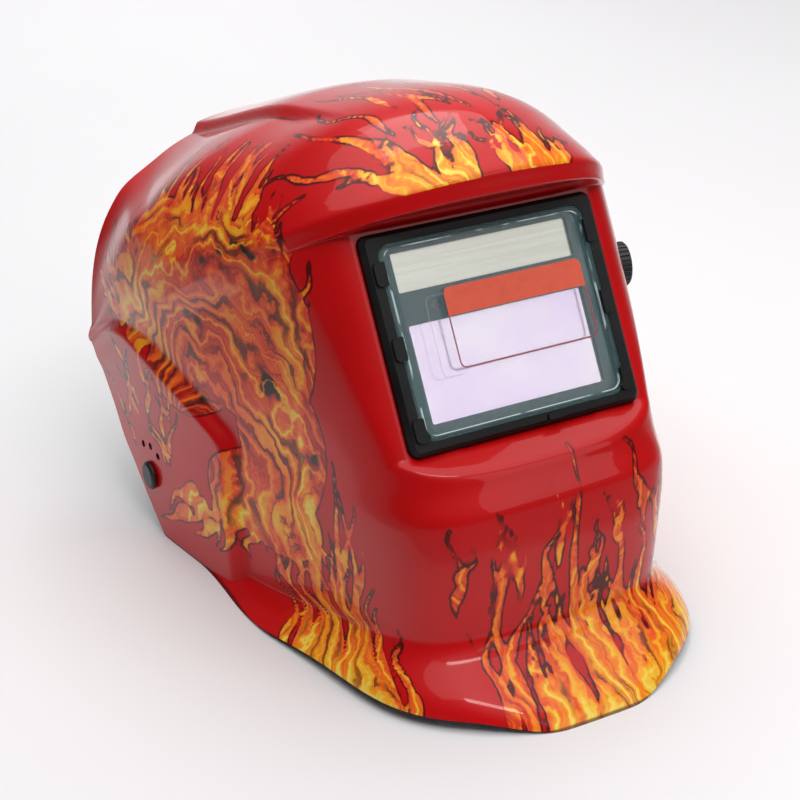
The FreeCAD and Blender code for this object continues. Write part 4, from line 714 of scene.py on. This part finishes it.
def build_outer_shell(rows, columns, materials):
    """The painted skin with short walls at its open edges, and the paint's fields on its points."""
    points, flat, kept, rims, places = build_skin(rows, columns, 0)
    inner = shell_points(places, columns, WALL_MM).reshape(-1, 3)
    inner[:, 2] = np.maximum(inner[:, 2], -RIM_DROP_MM)
    paint, flow = flame_fields(points, places)
    # edges used by one face only are open: wall them off towards the inner skin
    pairs = np.concatenate([kept[:, [0, 1]], kept[:, [1, 2]], kept[:, [2, 3]], kept[:, [3, 0]]])
    low, high = np.sort(pairs, axis=1).T
    first, counts = np.unique(low * len(flat) + high, return_index=True, return_counts=True)[1:]
    open_edges = pairs[first[counts == 1]]
    inward = inner.copy()
    inward[rims[0]] = flat[rims[0]] - OUT_MM * WALL_MM
    for rim, (centre, axis, radius, side) in zip(rims[1:], holes()):
        inward[rim] = flat[rim] - axis * WALL_MM * (side if abs(axis[0]) == 1.0 else 1)
    edge_vertices = np.unique(open_edges)
    extra = np.concatenate([flat[edge_vertices], inward[edge_vertices]])
    base, count = len(flat), len(edge_vertices)
    a, b = base + np.searchsorted(edge_vertices, open_edges).T
    wall_faces = np.stack([b, a, count + a, count + b], axis=1)
    vertices = np.concatenate([flat, extra])
    used = np.unique(np.concatenate([kept.reshape(-1), np.arange(base, len(vertices))]))
    lookup = np.full(len(vertices), -1)
    lookup[used] = np.arange(len(used))
    faces = np.concatenate([lookup[kept], lookup[wall_faces]])
    place = vertices[used] * MM + np.array(WINDOW)
    obj = mesh_object("shell_paint", place, faces, materials)
    mesh = obj.data
    fields = np.stack([paint.edge / 10, paint.core, paint.heat], axis=1)
    charts = np.concatenate([flow, np.zeros((len(flow), 1))], axis=1) / 100
    pad = np.tile([-0.9, 0, 0], (len(extra), 1))
    store(mesh, "fire_field", np.concatenate([fields, pad])[used])
    store(mesh, "skin_chart", np.concatenate([charts, np.zeros((len(extra), 3))])[used])
    mesh.polygons.foreach_set("material_index", [0] * len(kept) + [1] * len(wall_faces))
    return obj


def build_inner_shell(rows, columns, material):
    """The bare skin inside, its faces turned to look inwards."""
    flat, kept = build_skin(rows, columns, WALL_MM)[1:3]
    used = np.unique(kept)
    lookup = np.full(len(flat), -1)
    lookup[used] = np.arange(len(used))
    faces = lookup[kept[:, ::-1]]
    return mesh_object("shell_lining", flat[used] * MM + np.array(WINDOW), faces, [material])


def flame_paint_material():
    """Deep red gloss with sprayed flames under a clear coat."""
    n = Nodes("flame_paint")
    place = n.position()
    edge, core, heat = n.attribute("fire_field")
    across, along = n.attribute("skin_chart")[:2]
    across = n.times(across, 100.0)
    along = n.times(along, 100.0)
    broad = n.noise(place, 0.024, 2)
    curl = n.noise(place, 0.075, 3)
    fine = n.noise(place, 0.3, 3)
    edge = n.stir(n.stir(n.times(edge, 10.0), curl, 1.0), fine, 0.4)
    inside = n.span(edge, -0.15, 0.45)
    # filaments: wavy bands across the flow, each one fading in and out along its own length
    shifted = n.stir(n.stir(n.stir(across, broad, 30.0), curl, 7.5), fine, 0.8)

    def filaments(period, seed):
        """Brightness of bands this many mm apart, each band's own noise, and how far off its middle."""
        turn = n.calc("DIVIDE", shifted, period)
        number = n.calc("FLOOR", turn)
        ridge = n.calc("ABSOLUTE", n.calc("SUBTRACT", n.calc("FRACT", turn), 0.5))
        own = n.noise(n.join(n.times(number, 5.3), n.times(along, 0.028), seed), 1.0, 2)
        width = n.span(own, 0.3, 0.68, 0.06, 0.42, False)
        line = n.calc("SUBTRACT", 1.0, n.calc("DIVIDE", ridge, width), clamp=True)
        return line, own, ridge

    thick, _, ridge = filaments(10.5, 1.7)
    thin, thin_own, _ = filaments(4.6, 8.2)
    temperature = n.calc("MULTIPLY_ADD", core, 0.22, n.calc("MULTIPLY_ADD", heat, 0.42, 0.02))
    temperature = n.calc("MULTIPLY_ADD", thick, 0.4, temperature)
    temperature = n.calc("MULTIPLY_ADD", thin, 0.2, temperature)
    temperature = n.stir(temperature, broad, 0.3)
    fire = n.ramp(temperature, [(0.0, (0.42, 0.010, 0.005)), (0.22, (0.78, 0.05, 0.012)),
            (0.42, (0.96, 0.13, 0.015)), (0.6, (1.0, 0.27, 0.012)),
            (0.78, (1.0, 0.45, 0.015)), (1.0, (1.0, 0.74, 0.10))])
    # sooty gaps between the filaments and a few dark pockets
    soot = n.times(n.span(ridge, 0.27, 0.4), n.span(thin_own, 0.42, 0.54))
    soot = n.times(soot, n.span(edge, 1.0, 4.0))
    pocket = n.times(n.span(n.noise(place, 0.034, 2), 0.61, 0.65), n.span(edge, 3.0, 8.0))
    dark = n.calc("MAXIMUM", n.times(soot, 0.8), pocket)
    dark = n.times(dark, n.span(temperature, 0.95, 0.5))
    fire = n.mix(dark, fire, (0.03, 0.012, 0.008))
    red = n.mottle(0.012, 2, 0.3, 0.7, (0.63, 0.0015, 0.0035), (0.55, 0.001, 0.002))
    outline = n.times(n.span(edge, -1.2, -0.5), n.span(n.noise(place, 0.05, 2), 0.34, 0.5))
    red = n.mix(n.times(outline, 0.9), red, (0.03, 0.002, 0.002))
    colour = n.mix(inside, red, fire)
    # painted shadow: a thin dark line along the foot of the raised crown panel's edge; the trimmed rim
    # shows as a thin dark line too
    x, y, z = n.split(place)
    from_middle = n.calc("ABSOLUTE", x)
    beside = n.calc("ABSOLUTE", n.calc("SUBTRACT", from_middle, PANEL_HALF_MM + 4.2))
    # painted shadow along the foot of the crown panel's step
    panel_step_shadow = n.times(n.span(beside, 0.9, 0.35), n.span(y, 2.0, 24.0))
    panel_step_shadow = n.times(panel_step_shadow, n.span(z, 170.0, 180.0))
    rim = n.span(z, 1.5, 0.7)
    lines = n.calc("MAXIMUM", n.times(panel_step_shadow, 0.85), n.times(rim, 0.8))
    colour = n.mix(lines, colour, (0.06, 0.002, 0.002))
    orange_peel = n.noise(place, 0.55, 2)
    n.surface(Base_Color=colour, Roughness=0.4, Specular_IOR_Level=0.2, Coat_Weight=1.0,
            Coat_Roughness=0.03, Coat_IOR=1.26, Coat_Normal=n.bump(orange_peel, 0.04, 0.2))
    return n.material


sprayed_paint = flame_paint_material()
bare_edge = moulded_plastic("shell_edge", (0.05, 0.006, 0.006), 0.35)
lining_plastic = moulded_plastic("shell_lining", (0.035, 0.035, 0.038), 0.5, 0.6)
outer = build_outer_shell(300, 150, [sprayed_paint, bare_edge])
lining = build_inner_shell(150, 75, lining_plastic)
for piece in (outer, lining):
    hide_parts("shell")
    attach(piece, "helmet")


# ---- materials of the CAD nodes
def dress_node(material, names):
    """Give one material to the nodes whose names stand in a text."""
    for name in names.split():
        mesh = nodes[name].data
        mesh.materials.clear()
        mesh.materials.append(material)


black = moulded_plastic("black_plastic", (0.004, 0.004, 0.0045), 0.48, 0.4, shine=0.25)
knob_black = moulded_plastic("knob_plastic", (0.012, 0.012, 0.013), 0.42, 0.3)
band_plastic = moulded_plastic("band_plastic", (0.025, 0.025, 0.028), 0.48, 0.25)
steel = metal("zinc_steel", (0.62, 0.62, 0.63), 0.3)
brass = metal("plated_brass", (0.72, 0.6, 0.38), 0.28)
can = metal("drawn_can", (0.6, 0.61, 0.62), 0.35, (1, 1, 0.1))
sheath = rubbery("lead_sheath", (0.012, 0.012, 0.013), 0.5, 0.2)
fibre = rubbery("friction_fibre", (0.11, 0.1, 0.09), 0.85, 0.8, 2.2)
dress_node(black, """lens_frame cartridge_retainer side_arm_left side_arm_right tilt_stop_left
           tilt_stop_right ratchet_housing cartridge_rear_case""")
dress_node(knob_black, """shade_knob hand_nut_left hand_nut_right sensitivity_knob delay_knob ratchet_knob
           mode_slider shade_shaft pivot_bolt_left pivot_bolt_right""")
dress_node(band_plastic, """front_band rear_band_left rear_band_right crown_strap_left crown_strap_right
           crown_peg band_rivets reach_studs size_rack_left size_rack_right ratchet_pinion""")
dress_node(steel, "frame_screws retainer_pins knob_screw pot_washer coin_cells")
dress_node(brass, "pot_nut")
dress_node(can, "shade_pot")
dress_node(sheath, "shade_lead frame_gasket")
dress_node(fibre, "friction_washer_left friction_washer_right")


def plate_glass(name, tint, alpha, rough=0.03):
    """Thin plate of this opacity, with a sharp reflection and a painted highlight: a pale broken line round
    its edge.
    """
    n = Nodes(name)
    place = n.position()
    haze = n.noise(place, 0.05, 3)
    aside, up = n.window_place()
    edge = n.rounded_box(aside, up, (0.0, 0.0), (51.6, 42.6), 5.0)
    # painted highlight: a pale, broken line round the plate's edge, lighter and less clear than the rest
    caught_light = n.span(n.noise(place, 0.05, 2), 0.45, 0.55)
    rim = n.times(n.span(n.calc("ABSOLUTE", edge), 0.32, 0.12), caught_light)
    tint = n.mix(rim, tint, (0.75, 0.85, 0.85))
    n.surface(Base_Color=tint, Roughness=n.span(haze, 0.3, 0.8, rough, rough + 0.05),
            Alpha=n.calc("MAXIMUM", n.times(rim, 0.9), alpha))
    return n.material


dress_node(plate_glass("cover_plate", (0.2, 0.42, 0.44), 0.1), "front_cover_lens inner_cover_lens")


def film_material():
    """Clear film with a plain orange-red band and a thin dark red outline under it; no lettering."""
    n = Nodes("peel_film_print")
    aside, up = n.window_place()
    label_half, corner = (36.5, 18.5), 3.0
    label = n.rounded_box(aside, up, (9.5, 2.0), label_half, corner)
    below_top = n.span(up, 7.6, 7.2)
    band = n.times(n.span(label, 0.1, -0.1), n.span(up, 7.3, 7.6))
    line = n.times(n.span(n.calc("ABSOLUTE", label), 0.42, 0.28), below_top)
    ghost = n.rounded_box(aside, up, (-0.5, -0.5), label_half, corner)
    faint = n.times(n.span(n.calc("ABSOLUTE", ghost), 0.6, 0.3), n.span(aside, -24.0, -28.0))
    worn = n.noise(n.position(), 0.2, 3)
    tint = n.mix(band, (0.6, 0.62, 0.64), n.mix(worn, (0.80, 0.05, 0.006), (0.92, 0.09, 0.01)))
    tint = n.mix(line, tint, (0.36, 0.01, 0.03))
    alpha = n.calc("MAXIMUM", n.times(band, 0.93), n.times(line, 0.8))
    alpha = n.calc("MAXIMUM", alpha, n.times(faint, 0.14))
    alpha = n.calc("MAXIMUM", alpha, 0.05)
    n.surface(Base_Color=tint, Roughness=n.span(worn, 0.3, 0.7, 0.05, 0.1), Alpha=alpha)
    return n.material


dress_node(film_material(), "peel_film")


def cartridge_material():
    """Satin case coloured dark teal."""
    n = Nodes("cartridge_plastic")
    fine = n.noise(n.position(), 1.8, 2)
    tint = n.mottle(0.03, 3, 0.3, 0.7, (0.016, 0.042, 0.048), (0.026, 0.062, 0.068))
    n.surface(Base_Color=tint, Roughness=n.span(fine, 0.3, 0.7, 0.26, 0.36),
            Normal=n.bump(fine, 0.15, 0.08), Coat_Weight=0.3, Coat_Roughness=0.1)
    return n.material


dress_node(cartridge_material(), "cartridge_front_case")


def filter_material():
    """Mirrored violet glass."""
    n = Nodes("filter_mirror")
    tint = n.mottle(0.02, 3, 0.3, 0.7, (0.92, 0.74, 1.0), (1.0, 0.90, 1.0))
    n.surface(Base_Color=tint, Metallic=0.85, Roughness=0.22, Coat_Weight=0.5, Coat_Roughness=0.02)
    return n.material


def solar_material():
    """Pale cell with faint silver fingers."""
    n = Nodes("solar_cell")
    place = n.position()
    streak = n.noise(n.position((0.02, 1, 1)), 0.6, 3)
    fingers = n.saw_bands(place, 0.32)
    lines = n.span(fingers, 0.93, 0.98)
    tint = n.mix(n.span(streak, 0.35, 0.7), (0.84, 0.81, 0.69), (0.93, 0.91, 0.82))
    tint = n.mix(n.times(lines, 0.3), tint, (0.5, 0.48, 0.4))
    n.surface(Base_Color=tint, Metallic=0.75, Roughness=0.3, Coat_Weight=0.5, Coat_Roughness=0.04)
    return n.material


def board_material():
    """Green board with paler copper spots."""
    n = Nodes("circuit_board")
    copper = n.cells(n.position(), 0.35)
    tint = n.mix(n.span(copper, 0.2, 0.28), (0.10, 0.30, 0.10), (0.015, 0.12, 0.045))
    n.surface(Base_Color=tint, Roughness=0.35, Coat_Weight=0.4)
    return n.material


dress_node(filter_material(), "uv_ir_filter")
dress_node(plate_glass("shutter_glass", (0.03, 0.06, 0.04), 1.0, 0.05), "lcd_shutter")
dress_node(solar_material(), "solar_cell")
dress_node(board_material(), "circuit_board")
dress_node(moulded_plastic("sensor_dome", (0.03, 0.004, 0.012), 0.1, 0.0, coat=0.8), "arc_sensors")


# ---- soft pads
def cloth_material():
    """Black terry cloth."""
    n = Nodes("terry_cloth")
    place = n.position()
    loops = n.cells(place, 1.1)
    weave = n.noise(place, 0.8, 3)
    height = n.calc("ADD", loops, n.times(weave, 0.5))
    tint = n.mix(n.span(loops, 0.1, 0.7), (0.008, 0.008, 0.009), (0.05, 0.05, 0.055))
    n.surface(Base_Color=tint, Roughness=0.92, Sheen_Weight=0.5, Sheen_Roughness=0.4,
            Normal=n.bump(height, 0.8, 0.5))
    return n.material


def evaluated(obj):
    """The object's mesh with its modifiers applied."""
    seen = obj.evaluated_get(bpy.context.evaluated_depsgraph_get())
    mesh = bpy.data.meshes.new_from_object(seen)
    obj.modifiers.clear()
    obj.data = mesh
    return mesh


def coordinates(mesh):
    values = np.zeros(len(mesh.vertices) * 3)
    mesh.vertices.foreach_get("co", values)
    return values.reshape(-1, 3)


def outward_normals(mesh):
    return np.array([v.normal[:] for v in mesh.vertices])


VOXEL_MM = 2.2
INSET_MM = 0.7  # the pad starts this much smaller, because the cloth swells
SWELL_CAP_MM = 2.0
CLOTH_FRAMES = 20
PRESSURE = 10
GROOVE_MM = 1.3  # depth of the stitched grooves
GROOVE_REACH_MM = 1.5


def stuffed_pad(name, node, fixed_side, seams):
    """Foam pad made from a plain solid: remeshed, swollen as cloth, smoothed and then sewn.

    fixed_side gives, for an array of points, the direction in which the pad is backed and must
    not swell.  seams gives each point's distance in metres to the nearest row of stitches.
    """
    source = nodes[node]
    mesh = source.data.copy()
    mesh.transform(source.matrix_world)
    mesh.materials.clear()
    obj = new_object(name, mesh)
    remesh = obj.modifiers.new("remesh", "REMESH")
    remesh.mode = "VOXEL"
    remesh.voxel_size = VOXEL_MM * MM
    mesh = evaluated(obj)
    start = coordinates(mesh) - outward_normals(mesh) * INSET_MM * MM
    mesh.vertices.foreach_set("co", start.reshape(-1))
    swollen = start
    cloth = obj.modifiers.new("swell", "CLOTH")
    cloth.settings.use_pressure = True
    cloth.settings.uniform_pressure_force = PRESSURE
    cloth.settings.effector_weights.gravity = 0
    cloth.collision_settings.use_collision = False
    scene = bpy.context.scene
    for number in range(1, CLOTH_FRAMES + 1):
        scene.frame_set(number)
    mesh = evaluated(obj)
    swollen = coordinates(mesh)
    scene.frame_set(1)
    move = swollen - start
    length = np.linalg.norm(move, axis=1, keepdims=True) + 1e-9
    move = move * np.minimum(1, SWELL_CAP_MM * MM / length)
    backing = fixed_side(start)
    outwards = np.sum(move * backing, axis=1, keepdims=True)
    move = move - backing * np.maximum(outwards, 0)
    mesh.vertices.foreach_set("co", (start + move).reshape(-1))
    smooth = obj.modifiers.new("smooth", "SUBSURF")
    smooth.levels = 1
    mesh = evaluated(obj)
    place = coordinates(mesh)
    groove = GROOVE_MM * MM * np.exp(-(seams(place) / (GROOVE_REACH_MM * MM)) ** 2)
    mesh.vertices.foreach_set("co", (place - outward_normals(mesh) * groove[:, None]).reshape(-1))
    mesh.update()
    mesh.shade_smooth()
    mesh.materials.append(terry)
    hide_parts(node)
    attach(obj, "headband")


BAND = np.array(PIVOT) + (0, 0, 25 * MM)  # the middle of the headband


def from_head_middle(points):
    """Direction of the sweatband's backing: level and away from the head's middle."""
    away = (points - BAND) * (1, 1, 0)
    return away / np.linalg.norm(away, axis=1, keepdims=True)


def sweatband_seams(points):
    """Rows of stitches across the sweatband and one along each long edge."""
    away = points - BAND
    turn = np.arctan2(away[:, 0], -away[:, 1])
    radius = np.hypot(away[:, 0], away[:, 1])
    pitch = math.radians(15)
    across = np.abs((turn / pitch + 0.5) % 1 - 0.5) * pitch * radius
    along = np.abs(np.abs(away[:, 2]) - 10 * MM)
    return np.minimum(across, along)


def rear_pad_seams(points):
    """Two rows of stitches up the pad and one along each long edge."""
    away = points - BAND
    across = np.abs(np.abs(away[:, 0]) - 15 * MM)
    along = np.abs(np.abs(away[:, 2]) - 12 * MM)
    return np.minimum(across, along)


def backwards(points):
    """Direction of the rear pad's backing: straight back."""
    return np.tile([0.0, 1.0, 0.0], (len(points), 1))


terry = cloth_material()
stuffed_pad("sweatband_pad", "sweatband", from_head_middle, sweatband_seams)
stuffed_pad("nape_pad", "rear_pad", backwards, rear_pad_seams)


# ---- stage
VIEW_TURN = math.radians(-29)
VIEW_DROP = math.radians(27)
TABLE_FRONT, TABLE_BACK, TABLE_HALF = -1.6, 1.2, 2.2
BEND, BEND_STEPS, BACKDROP_TOP = 0.6, 12, 2.6


def stage_floor():
    """Pale table that curves up into a backdrop behind the helmet; its colour is painted darker outside the
    lit part, as painted shade.
    """
    profile = [(TABLE_FRONT, 0.0), (TABLE_BACK, 0.0)]
    for k in range(1, BEND_STEPS + 1):
        turn = math.pi / 2 * k / BEND_STEPS
        profile.append((TABLE_BACK + BEND * math.sin(turn), BEND - BEND * math.cos(turn)))
    profile.append((TABLE_BACK + BEND, BACKDROP_TOP))
    vertices = [(side, back, up) for back, up in profile for side in (-TABLE_HALF, TABLE_HALF)]
    faces = [(2 * k, 2 * k + 1, 2 * k + 3, 2 * k + 2) for k in range(len(profile) - 1)]
    n = Nodes("backdrop_paper")
    obj = mesh_object("backdrop", vertices, faces, [n.material])
    obj.rotation_euler = (0, 0, VIEW_TURN)
    place = n.position()
    aside, back = n.split(place)[:2]
    aside = n.calc("ABSOLUTE", aside)
    reach = n.calc("MULTIPLY_ADD", back, 0.42, 300.0)
    softness = n.calc("MULTIPLY_ADD", n.calc("MAXIMUM", back, 0.0), 0.25, 30.0)
    # painted shade: the paper turns grey outside a lit patch that widens towards the back, and towards the
    # front edge
    lit = n.span(n.calc("DIVIDE", n.calc("SUBTRACT", aside, reach), softness), 1.0, -1.0)
    lit = n.times(lit, n.span(back, -330.0, -262.0))
    paper = n.mix(n.noise(place, 0.003, 2), (0.86, 0.845, 0.855), (0.89, 0.88, 0.89))
    n.surface(Base_Color=n.mix(lit, (0.40, 0.395, 0.40), paper), Roughness=0.75, Specular_IOR_Level=0.2)


def softbox(name, place, target, width, height, power):
    """Rectangular lamp at a place, turned towards a target; sizes in metres, power in watts."""
    light = bpy.data.lights.new(name, "AREA")
    light.shape = "RECTANGLE"
    light.size, light.size_y = width, height
    light.energy = power
    obj = new_object(name, light)
    obj.location = place
    obj.rotation_euler = (Vector(target) - Vector(place)).to_track_quat("-Z", "Y").to_euler()
    return obj


stage_floor()
softbox("ceiling", (0.1, 0.05, 1.65), (0.1, 0.05, 0), 2.6, 2.2, 31)
softbox("streak_light", (-0.08, -0.95, 1.4), (0, -0.15, 0.1), 0.8, 0.11, 5)
softbox("key_light", (0.25, 0.7, 1.45), (0, -0.03, 0.12), 0.9, 0.5, 4)
softbox("window_light", (0.72, -1.32, 0.92), (0, -0.1, 0.16), 0.85, 0.85, 3.6)
rear_fill = softbox("rear_fill", (0.25, 1.3, 0.45), (0, 0, 0.12), 0.9, 0.5, 1.6)
rear_fill.visible_camera = False
rear_fill.visible_glossy = False
world = bpy.data.worlds.new("studio")
world.use_nodes = True
background = world.node_tree.nodes["Background"]
background.inputs["Color"].default_value = (0.95, 0.95, 1.0, 1)
background.inputs["Strength"].default_value = 0.08
bpy.context.scene.world = world

LENS_MM = 83.7
SENSOR_MM = 36
CAMERA_FROM_WINDOW_MM = (-413.1, -651.4, 352.4)
camera_data = bpy.data.cameras.new("camera")
camera_data.lens = LENS_MM
camera_data.sensor_width = SENSOR_MM
camera = new_object("camera", camera_data)
camera.location = WINDOW + Vector(CAMERA_FROM_WINDOW_MM) * MM
camera.rotation_euler = (math.pi / 2 - VIEW_DROP, 0, VIEW_TURN)
bpy.context.scene.camera = camera
bpy.context.scene.view_settings.view_transform = "Standard"
